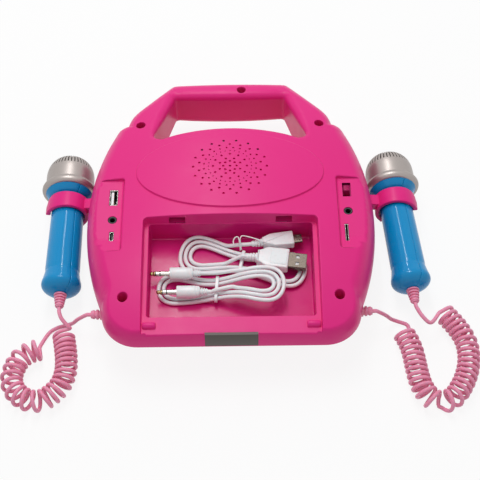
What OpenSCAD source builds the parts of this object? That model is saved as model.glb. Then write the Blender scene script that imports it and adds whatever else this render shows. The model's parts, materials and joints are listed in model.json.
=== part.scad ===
// Child's carry-handle karaoke speaker with an open storage tray in its back,
// two wired microphones in side clips and two spare cables in the tray.
// It lies on its front rim: +Z points out of the back, +Y towards the handle.
// Millimetres. The origin is on the resting surface, at the middle of the casing.

/* [Casing] */
// Width of the casing at its widest
casing_w = 208; // [196:1:222]
// Height of the casing from the base to the top of the handle
casing_h = 231; // [225:1:240]
// Depth of the casing from the front rim to the crown of the back
casing_d = 67; // [64:1:74]
// Height of the joint between the two shells above the front rim
parting_z = 34; // [31:1:36]
// Wall thickness of both shells
wall = 2.4; // [1.8:0.1:3]
// Radius of the bowed left and right sides
side_r = 195; // [180:1:260]
// Radius of the two base corners
base_corner_r = 26; // [18:1:34]
// Half width of the grip at the top corners
grip_half_w = 45; // [41:1:50]
// Depth of the handle, front to back
handle_d = 33; // [28:1:36]
// How far the crown of the back stands above the base lip
crown_fall = 13; // [9:1:16]
// Rise of the oval plateau round the rear speaker
plateau_rise = 1.2; // [0.6:0.1:2]

/* [Finger opening] */
// Half width of the opening at the body
opening_half_w = 56.5; // [50:0.5:59]
// Half width of the opening at the grip
opening_top_half_w = 43; // [38:0.5:44]
// Thickness of the grip from the opening to the top edge
grip_t = 18.5; // [16:0.5:21]
// Height of the opening at its two lower corners
opening_h = 50; // [44:1:52]
// Rise of the bowed lower edge
opening_bow = 10; // [6:1:14]

/* [Storage tray] */
// Width of the door recess
tray_w = 122; // [112:1:128]
// Distance from the base to the upper wall of the door recess
tray_top = 87; // [80:1:90]
// Depth of the door ledge below the crown of the back
ledge_drop = 11; // [9:1:13]
// Depth of the door recess at its base end
ledge_lip = 2.5; // [1.5:0.5:3.5]
// Width of the ledge at the left and right
ledge_side = 3.5; // [2.5:0.5:5]
// Width of the ledge at the base
ledge_base = 14.5; // [12:0.5:18]
// Depth of the compartment below the ledge
tray_depth = 18; // [12:1:20]
// Width of each latch slot
latch_w = 11.5; // [8:0.5:14]
// Distance of each latch slot from the middle
latch_x = 37.5; // [32:0.5:42]
// Length of each hinge lug
lug_l = 9; // [7:0.5:11]
// Height of each hinge lug
lug_h = 3; // [2:0.5:4]

/* [Rear speaker] */
// Distance of the speaker from the base
speaker_y = 130.2; // [128:0.1:134]
// Radius of the outermost ring of holes
grille_r = 27; // [24:0.5:28]
// Number of rings of holes
grille_rings = 5; // [3:1:5]
// Diameter of one hole
grille_hole = 2; // [1.4:0.1:2.4]

/* [Sockets] */
// Distance of both socket columns from the middle
port_x = 83.5; // [82:0.5:85]
// Depth of the socket flats below the crown of the back
port_drop = 10.5; // [9:0.5:12]
// Diameter of a jack's hole in the casing
jack_hole = 6.4; // [6:0.1:7]
// Diameter of the jack plug that fits
plug_d = 3.5; // [3.5:0.1:3.5]
// Depth of a jack's bore
jack_bore_l = 12; // [10:0.5:13]
// Clearance between a socket and its cut-out
socket_gap = 0.4; // [0.2:0.1:0.6]

/* [Power switch] */
// Length of the power switch's window
switch_window_l = 12; // [11:0.5:13]
// Width of the power switch's window
switch_window_w = 6; // [5:0.5:7]
// Travel of the power switch
switch_travel = 4; // [2:0.5:5]

/* [Screws] */
// Diameter of a screw well
well_d = 7; // [6:0.5:8]
// Height of the seat of a screw's head above the joint of the shells
screw_seat = 3; // [1:0.5:6]
// Diameter of a screw's head
screw_head_d = 5.6; // [4.8:0.1:5.8]

/* [Front] */
// Width of the bevel round the front, seen from the front
bevel_w = 23; // [20:0.5:26]
// Depth of the front panel behind the rim
panel_recess = 2; // [1.5:0.5:3]
// Radius of the front grille
front_grille_r = 34; // [30:0.5:38]
// Width of the light ring round the front grille
light_ring_w = 6; // [4:0.5:8]
// Radius of a push button
button_r = 6; // [5:0.5:7]
// Travel of a push button
button_travel = 1.2; // [0.8:0.1:1.6]
// Distance between neighbouring buttons
button_pitch = 20; // [16:0.5:22]

/* [Microphones] */
// Radius of the handle where the clip holds it
mic_r = 11.9; // [11:0.1:12.6]
// Radius of the round head
mic_head_r = 18; // [16.5:0.1:19]
// Radius of the rim below the head
mic_rim_r = 20.3; // [19:0.1:21]
// Radius of the bulge at the tail
mic_tail_r = 14.3; // [13.2:0.1:15.5]
// Length from the clip's middle to the end of the tail
mic_tail_l = 74; // [68:1:80]
// Wall thickness of the handle
mic_wall = 1.6; // [1.2:0.1:2]
// Number of slots in the head
head_slots = 20; // [12:1:24]
// Height of each microphone's axis above the resting surface
mic_z = 22; // [21.5:0.5:25]
// Distance of each microphone's axis from the middle of the casing
mic_x = 122.5; // [121:0.5:128]
// Distance from the base to the middle of the clips
clip_y = 124; // [118:1:130]
// Angle by which the right microphone hangs askew in its clip
right_tilt = 4.5; // [0:0.5:5]

/* [Microphone clips] */
// Length of a clip along the microphone
clip_l = 13; // [10:0.5:14]
// Thickness of a clip's band
clip_t = 2.8; // [2.2:0.1:3.4]
// Clearance between a clip and the handle
clip_gap = 0.9; // [0.8:0.1:1.2]

/* [Cords] */
// Diameter of the microphone cords
cord_d = 2.8; // [2.4:0.1:3]
// Radius of the curls, at the middle of the cord
curl_r = 6.7; // [6:0.1:7]
// Number of curls in the left cord
left_curls = 24; // [18:1:25]
// Number of curls in the right cord
right_curls = 30; // [22:1:31]
// Diameter of the two spare cables
cable_d = 2.8; // [2.4:0.1:2.9]

/* [Hidden] */

$fn = 48;
pink = "#e83e8c";
blue = "#0092cc";
silver = "#b7afac";
black = "#1c1c1e";
white = "#f2f2f4";
cord_pink = "#ea90b0";

// Gap left between two bodies, and a small overlap for clean cuts
seat_gap = 0.3;
eps = 0.01;

base_y = -casing_h / 2;
top_y = casing_h / 2;
half_w = casing_w / 2;
// The point that every outline ring shrinks towards
hub = [0, -15];
// Height on the side at which the casing is widest
widest_y = -16;
side_cx = half_w - side_r;
shoulder_y = 61;
base_arc_y = base_y + 27;
handle_z = 47;
handle_front_z = handle_z - handle_d;
crown_y = -35;
shoulder_x = side_cx + sqrt(pow(side_r, 2) - pow(shoulder_y - widest_y, 2));
base_arc_x = side_cx + sqrt(pow(side_r, 2) - pow(base_arc_y - widest_y, 2));
base_flat = base_arc_x - base_corner_r;

function side_x(y) = side_cx + sqrt(pow(side_r, 2) - pow(y - widest_y, 2));

// Right half of the outline, from the middle of the base to the middle of the grip
base_steps = 5;
side_steps = 7;
base_arc_n = [for (i = [0:base_steps]) 90 * i / base_steps];
right_outline = concat(
    [[0, base_y], [base_flat * 0.5, base_y]],
    [for (a = base_arc_n) [
        base_flat + base_corner_r * sin(a),
        base_y + (base_arc_y - base_y) * (1 - cos(a))]],
    [for (i = [1:side_steps]) let (y = base_arc_y + (shoulder_y - base_arc_y) * i / side_steps)
        [side_x(y), y]],
    [[shoulder_x - 2.4, shoulder_y + 5], [shoulder_x - 5.6, shoulder_y + 7.6],
     [shoulder_x - 9, shoulder_y + 8.6], [shoulder_x - 13.8, shoulder_y + 21],
     [grip_half_w + 16, top_y - 18], [grip_half_w + 1.5, top_y - 2.2],
     [grip_half_w - 1.5, top_y - 0.3]],
    [[grip_half_w / 2, top_y], [0, top_y]]
);
half_n = len(right_outline);
outline = concat(
    right_outline,
    [for (i = [half_n - 2:-1:1]) [-right_outline[i][0], right_outline[i][1]]]
);

// Height of the back's skin over a point, before the edges roll off
function back_z(x, y) = let (
    d = y - crown_y,
    up = (casing_d - handle_z + 2) / pow(top_y - crown_y, 2),
    down = crown_fall / pow(crown_y - base_y - 3, 2)
) casing_d - (d > 0 ? up : down) * d * d - 9 * pow(x / 100, 2);

// Width over which the back's edge rolls off, which differs round the outline
function roll_w(y) = lookup(y, [[base_y, 5], [base_y + 12, 6], [base_y + 30, 13],
    [shoulder_y, 13], [shoulder_y + 14, 10], [top_y, 10]]);

// Height of the front at a point of the outline: the handle is set back
function front_z(y) = lookup(y, [[shoulder_y - 14, 0], [shoulder_y + 10, handle_front_z],
    [top_y, handle_front_z]]);

function inset(p, d) = let (v = p - hub, l = norm(v)) hub + v * (l - d) / l;
function shrink(p, s) = hub + (p - hub) * s;

// One ring of the back: a is the roll-off angle and t the wall to leave
function back_ring(a, t) = [for (p = outline) let (
    q = inset(p, t + roll_w(p[1]) * (1 - cos(a)))
) [q[0], q[1], parting_z + (back_z(q[0], q[1]) - t - parting_z) * sin(a)]];

function back_dome(s, t) = [for (p = outline) let (
    r = inset(p, t + roll_w(p[1])),
    q = shrink(r, s)
) [q[0], q[1], back_z(q[0], q[1]) - t]];

// One ring of the front: f runs from 0 at the shell joint to 1 at the rim
function front_ring(f, t) = [for (p = outline) let (
    deep = parting_z - front_z(p[1]),
    q = inset(p, t + bevel_w * f * deep / parting_z)
) [q[0], q[1], parting_z - (deep - t) * f]];

function front_flat(s, t) = [for (p = outline) let (
    deep = parting_z - front_z(p[1]),
    r = inset(p, t + bevel_w * deep / parting_z),
    q = shrink(r, s)
) [q[0], q[1], t + front_z(q[1])]];

function lift(ring, dz) = [for (p = ring) [p[0], p[1], p[2] + dz]];

// A closed skin through rings of equal length, from the lowest to the highest
module skin(rings, low, high) {
    n = len(rings[0]);
    m = len(rings);
    points = concat([for (r = rings) each r], [low, high]);
    sides = [for (k = [0:m - 2]) for (i = [0:n - 1]) let (
        a = k * n + i,
        b = k * n + (i + 1) % n
    ) each [[a, a + n, b + n], [a, b + n, b]]];
    floor_faces = [for (i = [0:n - 1]) [m * n, i, (i + 1) % n]];
    roof_faces = [for (i = [0:n - 1]) [m * n + 1, (m - 1) * n + (i + 1) % n, (m - 1) * n + i]];
    polyhedron(points, concat(sides, floor_faces, roof_faces), convexity = 8);
}

module back_outer() {
    skin(
        concat([for (a = [0, 22, 42, 60, 76, 90]) back_ring(a, 0)],
            [for (s = [0.76, 0.5, 0.25]) back_dome(s, 0)]),
        [hub[0], hub[1], parting_z],
        [hub[0], hub[1], back_z(hub[0], hub[1])]
    );
}

module back_inner() {
    skin(
        concat([lift(back_ring(0, wall), -1)], [for (a = [0, 30, 60, 90]) back_ring(a, wall)],
            [for (s = [0.66, 0.33]) back_dome(s, wall)]),
        [hub[0], hub[1], parting_z - 1],
        [hub[0], hub[1], back_z(hub[0], hub[1]) - wall]
    );
}

// Middle of the fan that closes the front shell at the joint, off the axis of symmetry
front_fan = [hub[0] + 4, hub[1] + 7];

module front_outer() {
    skin(
        concat([for (s = [0.3, 0.52, 0.75]) front_flat(s, 0)],
            [for (f = [1, 0.93, 0.5, 0]) front_ring(f, 0)]),
        [hub[0], hub[1], 0],
        [front_fan[0], front_fan[1], parting_z]
    );
}

module front_inner() {
    t = wall + panel_recess;
    skin(
        concat([for (s = [0.52, 0.75]) front_flat(s, t)],
            [for (f = [1, 0.5, -0.04]) front_ring(f, t)]),
        [hub[0], hub[1], t],
        [hub[0], hub[1], parting_z + 1]
    );
}

// Outline of the finger opening, grown outwards by g
opening_low_y = top_y - grip_t - opening_h;
opening_tip_y = opening_low_y + 5;
opening_bow_w = opening_half_w - 6;
opening_bow_r = (pow(opening_bow_w, 2) + pow(opening_bow, 2)) / (2 * opening_bow);
opening_bow_a = asin(opening_bow_w / opening_bow_r);
opening_bow_n = 8;

module opening_2d(g) {
    polygon(concat(
        [for (i = [0:opening_bow_n]) let (a = -opening_bow_a + 2 * opening_bow_a * i / opening_bow_n)
            [(opening_bow_r - g) * sin(a),
             opening_low_y + opening_bow - opening_bow_r + (opening_bow_r - g) * cos(a)]],
        [[opening_half_w + g * 0.6 - 2, opening_low_y + 1 - g * 0.7],
         [opening_half_w + g, opening_tip_y],
         [opening_top_half_w + g, top_y - grip_t - 3],
         [opening_top_half_w - 3 + g * 0.5, top_y - grip_t + g],
         [-opening_top_half_w + 3 - g * 0.5, top_y - grip_t + g],
         [-opening_top_half_w - g, top_y - grip_t - 3],
         [-opening_half_w - g, opening_tip_y],
         [-opening_half_w - g * 0.6 + 2, opening_low_y + 1 - g * 0.7]]
    ));
}

module opening_prism(g, z0, z1) {
    translate([0, 0, z0]) linear_extrude(z1 - z0) opening_2d(g);
}

// Storage tray
ledge_z = casing_d - ledge_drop;
tray_floor_z = ledge_z - tray_depth;
tray_top_y = base_y + tray_top;
lip_y = base_y + 3.5;
lip_z = back_z(tray_w / 2, lip_y) - ledge_lip;
function ledge_at(y) = lip_z + (ledge_z - lip_z) * (y - lip_y) / (tray_top_y - lip_y);
tray_in_w = tray_w - 2 * ledge_side;
tray_in_low = base_y + ledge_base;
tray_in_h = tray_top - ledge_base;
latch_h = 4;
latch_z = ledge_z + 0.8;
lug_x = tray_w / 2 - lug_l / 2 - 1;
lug_y = base_y + 8;
lug_w = 4.5;

module box(x0, x1, y0, y1, z0, z1) {
    translate([x0, y0, z0]) cube([x1 - x0, y1 - y0, z1 - z0]);
}

// The door recess: its floor falls towards the base with the back's own slope
module door_recess(g) {
    low = base_y - 5;
    rotate([90, 0, 90]) linear_extrude(tray_w + 2 * g, center = true) polygon([
        [tray_top_y + g, ledge_at(tray_top_y) - g], [tray_top_y + g, casing_d + 5],
        [low, casing_d + 5], [low, ledge_at(low) - g]
    ]);
}

module tray_walls() {
    door_recess(wall);
    box(-tray_in_w / 2 - wall, tray_in_w / 2 + wall, tray_in_low - wall, tray_top_y + wall,
        tray_floor_z - wall, casing_d);
}

module tray_cut() {
    door_recess(0);
    box(-tray_in_w / 2, tray_in_w / 2, tray_in_low, tray_top_y, tray_floor_z, casing_d);
    for (s = [-1, 1])
        box(s * latch_x - latch_w / 2, s * latch_x + latch_w / 2, tray_top_y - 1,
            tray_top_y + wall + 1, latch_z, latch_z + latch_h);
}

module hinge_lugs() {
    z = ledge_at(lug_y);
    for (s = [-1, 1]) {
        box(s * lug_x - lug_l / 2, s * lug_x + lug_l / 2, lug_y - lug_w / 2, lug_y + lug_w / 2,
            z - 1, z + lug_h - lug_w / 2 + 0.6);
        translate([s * lug_x - lug_l / 2, lug_y, z + lug_h - lug_w / 2])
            rotate([0, 90, 0]) cylinder(d = lug_w, h = lug_l);
    }
}

// Screws: two beside the handle, one in the grip and two beside the tray
low_screw = [73.6, base_y + 27];
high_screw = [67, 63.5];
grip_screw = [9, top_y - grip_t + 5.2];
screw_spots = [
    [low_screw[0], low_screw[1]], [-low_screw[0], low_screw[1]],
    [high_screw[0], high_screw[1]], [-high_screw[0], high_screw[1]],
    grip_screw
];
well_wall = 1.6;
screw_hole_d = 3.2;
well_floor = parting_z + screw_seat;

module screw_posts() {
    for (p = screw_spots)
        translate([p[0], p[1], parting_z - 2])
            cylinder(d = well_d + 2 * well_wall, h = casing_d);
}

module screw_wells() {
    for (p = screw_spots) {
        translate([p[0], p[1], well_floor]) cylinder(d = well_d, h = casing_d);
        translate([p[0], p[1], parting_z - 5]) cylinder(d = screw_hole_d, h = casing_d);
    }
}

// Rear speaker: a flat perforated disc moulded into the back
spk_y = base_y + speaker_y;
disc_r = grille_r + 3;
disc_tilt = 5.3;
// An oval plateau surrounds it, creased below and fading out towards the handle
plateau_w = 67.5;
plateau_h = 36;
plateau_n = 40;
function plateau_at(y) = plateau_rise * max(0, min(1, (spk_y + plateau_h - y) / (1.6 * plateau_h)));
function plateau_ring(f, sunk) = [for (i = [0:plateau_n - 1]) let (
    a = 360 * i / plateau_n,
    x = plateau_w * f * cos(a),
    y = spk_y - 1.5 + plateau_h * f * sin(a)
) [x, y, back_z(x, y) + (sunk ? -2 : plateau_at(y) - 0.15)]];
spk_z = back_z(0, spk_y) + plateau_at(spk_y) - 0.15;

module plateau() {
    skin(
        concat([plateau_ring(1, true)], [for (f = [0.975, 0.75, 0.5, 0.25]) plateau_ring(f, false)]),
        [0, spk_y, back_z(0, spk_y) - 2],
        [0, spk_y, spk_z]
    );
}
disc_t = 2;

module speaker_place() {
    translate([0, spk_y, spk_z]) rotate([-disc_tilt, 0, 0]) children();
}

module grille_disc() {
    speaker_place() translate([0, 0, -disc_t]) linear_extrude(disc_t) difference() {
        circle(r = disc_r + 0.2);
        circle(d = grille_hole);
        for (k = [1:grille_rings]) {
            n = round(5.2 * k);
            for (i = [0:n - 1])
                rotate(360 * (i + 0.5) / n)
                    translate([grille_r * k / grille_rings - 1, 0]) circle(d = grille_hole);
        }
    }
}

// Socket flats at both sides of the tray
port_z = casing_d - port_drop;
flat_in_x = 76;
flat_top_y = 9;
flat_low_y = -52;
usb_y = -6;
left_jack_y = -25.4;
micro_y = -39.5;
switch_y = -1.3;
right_jack_y = -20;
card_y = -38.6;
usb_w = 13.1;
usb_t = 5.7;
micro_w = 7.6;
micro_t = 2.9;
card_w = 14.6;
card_t = 2.2;
card_x = port_x - 2;

module flats_cut() {
    for (s = [-1, 1]) scale_x(s)
        box(flat_in_x, half_w + 5, flat_low_y, flat_top_y, port_z, casing_d + 5);
}

module scale_x(s) {
    if (s < 0) mirror([1, 0, 0]) children();
    else children();
}

module flats_backing() {
    for (s = [-1, 1]) scale_x(s)
        box(flat_in_x - wall, half_w, flat_low_y - wall, flat_top_y + wall, port_z - wall,
            casing_d);
}

module upright_box(x, y, w, l, z0, z1) {
    box(x - w / 2, x + w / 2, y - l / 2, y + l / 2, z0, z1);
}

module socket_cuts() {
    z0 = port_z - wall - 1;
    z1 = port_z + 1;
    upright_box(-port_x, usb_y, usb_t + 2 * socket_gap, usb_w + 2 * socket_gap, z0, z1);
    upright_box(-port_x, micro_y, micro_t + 2 * socket_gap, micro_w + 2 * socket_gap, z0, z1);
    upright_box(card_x, card_y, card_t + 2 * socket_gap, card_w + 2 * socket_gap, z0, z1);
    upright_box(port_x, switch_y, switch_window_w, switch_window_l, z0, z1);
    translate([-port_x, left_jack_y, z0]) cylinder(d = jack_hole, h = z1 - z0);
    translate([port_x, right_jack_y, z0]) cylinder(d = jack_hole, h = z1 - z0);
}

// Pocket in the back shell that takes the foot of a microphone clip
clip_foot_z = parting_z + 1.5;
clip_foot_t = 6;
clip_foot_l = clip_l - 2;
clip_mid_y = base_y + clip_y;
foot_in = 4;

module clip_pockets() {
    for (s = [-1, 1]) scale_x(s)
        box(side_x(clip_mid_y) - foot_in - 1, half_w + 5,
            clip_mid_y - clip_foot_l / 2 - seat_gap, clip_mid_y + clip_foot_l / 2 + seat_gap,
            clip_foot_z - seat_gap, clip_foot_z + clip_foot_t + seat_gap);
}

// Rating label in a shallow seat on the base wall
label_w = 36;
label_h = 11;
label_z = parting_z + 1.5;
label_t = 0.4;

module back_shell() {
    color(pink) {
        difference() {
            union() {
                back_outer();
                plateau();
            }
            difference() {
                back_inner();
                opening_prism(wall, parting_z - 2, casing_d);
                tray_walls();
                screw_posts();
                flats_backing();
            }
            opening_prism(0, parting_z - 2, casing_d + 5);
            tray_cut();
            flats_cut();
            socket_cuts();
            screw_wells();
            clip_pockets();
            speaker_place() translate([0, 0, -8]) cylinder(r = disc_r, h = 20);
            label_block(0.2);
        }
        grille_disc();
        hinge_lugs();
    }
}

// The rating label is a thin plate on the base wall
module label_block(g) {
    box(-label_w / 2 - g, label_w / 2 + g, base_y - 2, base_y + label_t + 0.2 + g,
        label_z - g, label_z + label_h + g);
}

module rating_label() {
    color("#4d4640")
        box(-label_w / 2, label_w / 2, base_y + 0.1, base_y + 0.2 + label_t,
            label_z, label_z + label_h);
}

// Front: a recessed panel inside the rim, with grille, light ring and buttons
panel_z = panel_recess;
// The ring lies below the finger opening, and the buttons in two rows below the ring
front_spk_y = opening_low_y - 54;
ring_in_r = front_grille_r + 1;
ring_out_r = ring_in_r + light_ring_w;
ring_flange_r = ring_out_r + 3;
button_flange_r = button_r + 1.2;
button_y = front_spk_y - ring_flange_r - 0.8 - button_flange_r;
button_row = 15.5;
button_gap = 0.35;
button_names = ["previous", "play", "next", "volume_down", "mode", "volume_up"];
function button_spot(i) = [
    (i % 3 - 1) * button_pitch,
    button_y - (i < 3 ? 0 : button_row)
];
panel_in = 32;

module front_shell() {
    color(pink) difference() {
        front_outer();
        difference() {
            front_inner();
            opening_prism(wall, -1, parting_z + 2);
            for (p = screw_spots)
                translate([p[0], p[1], 0]) cylinder(d = well_d, h = parting_z + 2);
        }
        opening_prism(0, -1, parting_z + 2);
        // The panel lies behind the rim, so that the rim alone rests
        translate([0, 0, -1]) linear_extrude(1 + panel_recess) panel_2d();
        translate([0, front_spk_y, -1]) cylinder(r = ring_out_r + 0.2, h = 12);
        for (i = [0:5])
            translate([button_spot(i)[0], button_spot(i)[1], -1])
                cylinder(r = button_r + button_gap, h = 12);
        for (p = screw_spots)
            translate([p[0], p[1], parting_z - 14]) cylinder(d = 2.4, h = 20);
        for (s = [-1, 1]) scale_x(s)
            translate([grommet_x, grommet_y, grommet_z]) rotate([0, 90, 0]) {
                translate([0, 0, -14]) cylinder(r = grommet_neck_r + 0.15, h = 30);
                translate([0, 0, -seat_gap]) cylinder(r = relief_r + seat_gap, h = 20);
            }
    }
}

module panel_2d() {
    intersection() {
        polygon([for (i = [1:len(outline) - 1])
            inset((outline[i - 1] + outline[i]) / 2, panel_in)]);
        translate([-half_w, base_y]) square([casing_w, shoulder_y - 16 - base_y]);
    }
}

module front_grille() {
    color(black) translate([0, front_spk_y, panel_z]) linear_extrude(1.6) difference() {
        circle(r = front_grille_r);
        circle(d = 2.6);
        for (k = [1:5]) {
            n = 6 * k;
            for (i = [0:n - 1])
                rotate(360 * i / n) translate([front_grille_r * k / 5.6, 0]) circle(d = 2.6);
        }
    }
}

module light_ring() {
    color(white) translate([0, front_spk_y, panel_z]) difference() {
        union() {
            cylinder(r = ring_out_r, h = wall);
            translate([0, 0, wall]) cylinder(r = ring_flange_r, h = 2);
        }
        translate([0, 0, -1]) cylinder(r = ring_in_r - 1 + 0.2, h = 2.8);
        translate([0, 0, 1.5]) cylinder(r = ring_in_r - 4, h = 5);
    }
}

// A driver: basket rim, cone frame and magnet in one revolved body
module driver(r, h) {
    rotate_extrude() polygon([
        [0, h - 9], [r * 0.42, h - 9], [r * 0.42, h - 5], [r * 0.9, 3], [r, 3],
        [r, 0], [r * 0.86, 0], [r * 0.3, 6], [0, 4]
    ]);
    translate([0, 0, h - 9]) cylinder(r = r * 0.55, h = 9);
}

module rear_speaker() {
    color(black) speaker_place() translate([0, 0, -disc_t]) mirror([0, 0, 1])
        driver(disc_r - 1, 20);
}

module front_speaker() {
    color(black) translate([0, front_spk_y, panel_z + wall + 2]) driver(ring_in_r - 1, 24);
}

// Boards and battery
board_t = 1.6;
board_z = 11;
board_w = 72;
board_h = 36;
board_y = button_y - 27;
board_post_d = 4;
chip_x = [-18, 6];
chip_y = [board_y + 7, board_y + 23];
chip_h = 3;

module button_stem(i) {
    p = button_spot(i);
    color(white) {
        translate([p[0], p[1], panel_z - 1]) cylinder(r = button_r, h = wall + 1.5);
        translate([p[0], p[1], panel_z + wall + 0.5]) cylinder(r = button_flange_r, h = 1.2);
        translate([p[0], p[1], panel_z + wall + 1.7])
            cylinder(r = 2, h = board_z - button_travel - seat_gap - panel_z - wall - 1.7);
    }
}

module main_board() {
    color("#1f7a4a") {
        box(-board_w / 2, board_w / 2, board_y, board_y + board_h, board_z, board_z + board_t);
        box(chip_x[0], chip_x[1], chip_y[0], chip_y[1], board_z + board_t,
            board_z + board_t + chip_h);
        for (s = [-1, 1])
            translate([s * (board_w / 2 - board_post_d), board_y + board_post_d, panel_z + wall])
                cylinder(d = board_post_d, h = board_z - panel_z - wall);
    }
}

battery_l = 66;
battery_d = 18;
// One cell on each side of the board, against the underside of the tray
battery_x = board_w / 2 + 2 + battery_d / 2;
battery_y = tray_in_low + 4;

module battery_pack() {
    color("#2b6cb0") for (s = [-1, 1])
        translate([s * battery_x, battery_y, tray_floor_z - wall - battery_d / 2])
            rotate([-90, 0, 0]) cylinder(d = battery_d, h = battery_l);
}

board_left_z = port_z - 11;

module port_board(side, y0, y1) {
    color("#1f7a4a") scale_x(side)
        box(flat_in_x - 2, port_x + 7, y0, y1, board_left_z - board_t, board_left_z);
}

module port_board_left() {
    port_board(-1, micro_y - 8, usb_y + 11);
    color("#1f7a4a") board_posts(-1, micro_y - 6, usb_y + 9);
}

module port_board_right() {
    port_board(1, card_y - 10, switch_y + 9);
    color("#1f7a4a") board_posts(1, card_y - 8, switch_y + 8);
}

// Posts that hold a socket board under its flat
module board_posts(side, y0, y1) {
    scale_x(side) for (y = [y0, y1])
        translate([flat_in_x + 1, y, board_left_z]) cylinder(d = 3, h = port_z - wall - board_left_z);
}

module usb_socket() {
    color("silver") difference() {
        upright_box(-port_x, usb_y, usb_t, usb_w, board_left_z, port_z - 0.3);
        upright_box(-port_x, usb_y, usb_t - 0.8, usb_w - 0.8, board_left_z + 1, port_z + 1);
    }
}

module usb_socket_tongue() {
    color(white) upright_box(-port_x - 0.9, usb_y, 1.8, 11, board_left_z + 1, port_z - 1);
}

module micro_usb_socket() {
    color("silver") difference() {
        upright_box(-port_x, micro_y, micro_t, micro_w, board_left_z, port_z - 0.3);
        upright_box(-port_x, micro_y, micro_t - 0.7, micro_w - 0.7, port_z - 5, port_z + 1);
    }
    color(black) upright_box(-port_x, micro_y, 0.7, 5, port_z - 5, port_z - 1);
}

module jack(x, y) {
    color(black) difference() {
        union() {
            upright_box(x, y, 7, 8, board_left_z, port_z - wall - 0.1);
            translate([x, y, board_left_z]) cylinder(d = jack_hole - 0.4, h = port_z - board_left_z - 0.3);
        }
        translate([x, y, port_z - 0.3 - jack_bore_l + 2]) cylinder(d = plug_d + 0.1, h = jack_bore_l);
    }
}

module card_socket() {
    color("silver") difference() {
        upright_box(card_x, card_y, card_t, card_w, board_left_z, port_z - 0.3);
        upright_box(card_x, card_y, card_t - 0.8, card_w - 2.6, port_z - 9, port_z + 1);
    }
}

knob_l = 4.5;
knob_w = 4.2;
knob_y = switch_y + switch_travel / 2;
housing_top = port_z - wall - seat_gap;

module switch_housing() {
    color(black) difference() {
        upright_box(port_x, switch_y, 7, 13, board_left_z, housing_top);
        upright_box(port_x, switch_y, 5, 11.6, board_left_z + 3, housing_top + 1);
    }
}

module switch_knob() {
    color(black) {
        upright_box(port_x, knob_y, knob_w, knob_l, board_left_z + 4, port_z - 0.6);
    }
}

// Screws: head at the bottom of its well, shank down into the front shell's post
module casing_screws() {
    color("silver") for (p = screw_spots) difference() {
        union() {
            translate([p[0], p[1], well_floor]) cylinder(d = screw_head_d, h = 2.2);
            translate([p[0], p[1], parting_z - 10]) cylinder(d = 2.3, h = well_floor - parting_z + 10);
        }
        for (a = [0, 90]) translate([p[0], p[1], well_floor + 1.8]) rotate(a)
            cube([4, 0.8, 2], center = true);
    }
}

// Microphones, drawn along +Z from the middle of the clip and then laid along +Y
cone_s = clip_l / 2 + 1.5;
rim_s = cone_s + 5.5;
head_s = rim_s + 6;
dome_s = head_s + 8.5;
waist_s = -mic_tail_l + 21;
bulge_s = -mic_tail_l + mic_tail_r - 1;
tail_hole_r = 3;
cup_steps = 7;

// Outer profile of the handle from the tail hole up to the rim, shrunk by t
function handle_profile(t) = concat(
    [[tail_hole_r, -mic_tail_l + t]],
    [for (i = [0:cup_steps]) let (a = 22 + 68 * i / cup_steps)
        [(mic_tail_r - t) * sin(a), bulge_s - (mic_tail_r - 1 - t) * cos(a)]],
    [[mic_tail_r - 0.5 - t, bulge_s + 3], [mic_r + 0.2 - t, waist_s - 1],
     [mic_r - 0.6 - t, waist_s + 1.5], [mic_r - 0.2 - t, waist_s + 6],
     [mic_r - t, waist_s + 16], [mic_r - t, cone_s], [mic_r + 2.4 - t, cone_s + 1.8],
     [mic_head_r - 0.6 - t, rim_s]]
);

module handle_shell() {
    outer = handle_profile(0);
    inner = handle_profile(mic_wall);
    n = len(inner);
    polygon(concat(
        outer,
        [[4, rim_s], [4, rim_s - mic_wall], [mic_head_r - 3 - mic_wall, rim_s - mic_wall]],
        [for (i = [n - 2:-1:0]) inner[i]]
    ));
}

// Keeps the pair centred on the casing although one hangs askew
mic_shift = (mic_rim_r - mic_tail_r + sin(right_tilt) * bulge_s) / 2;

module mic_place(side) {
    tilt = side > 0 ? right_tilt : 0;
    translate([side * mic_x + mic_shift, clip_mid_y, mic_z]) rotate([0, 0, tilt]) rotate([-90, 0, 0])
        children();
}

switch_a = 62;
mic_switch_s = -24;
mic_switch_l = 7;
mic_switch_w = 4;
mic_switch_travel = 3;

// Seat of the slide switch, on the outer and front side of the handle
module mic_switch_place(side) {
    mic_place(side) rotate([0, 0, side > 0 ? switch_a : 180 - switch_a])
        translate([mic_r, 0, mic_switch_s]) children();
}

module handle_half(side, outer_half) {
    turn = (side > 0) == outer_half ? -90 : 90;
    color(blue) difference() {
        mic_place(side) rotate([0, 0, turn]) rotate_extrude(angle = 180) handle_shell();
        if (outer_half)
            mic_switch_place(side) translate([0, 0, mic_switch_travel / 2])
                cube([6, mic_switch_w + 0.6, mic_switch_l + mic_switch_travel + 0.6], center = true);
    }
}

module mic_switch(side) {
    color(blue) mic_switch_place(side) translate([-0.3, 0, 0])
        cube([2.6, mic_switch_w, mic_switch_l], center = true);
}

module mic_rim(side) {
    r = 3;
    color(silver) mic_place(side) rotate_extrude() {
        translate([mic_rim_r - r, rim_s + r]) circle(r = r);
        translate([mic_head_r - 3, rim_s]) square([mic_rim_r - r - mic_head_r + 3, 2 * r]);
    }
}

slot_w = 0.9;
head_wall = 1.4;

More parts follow.
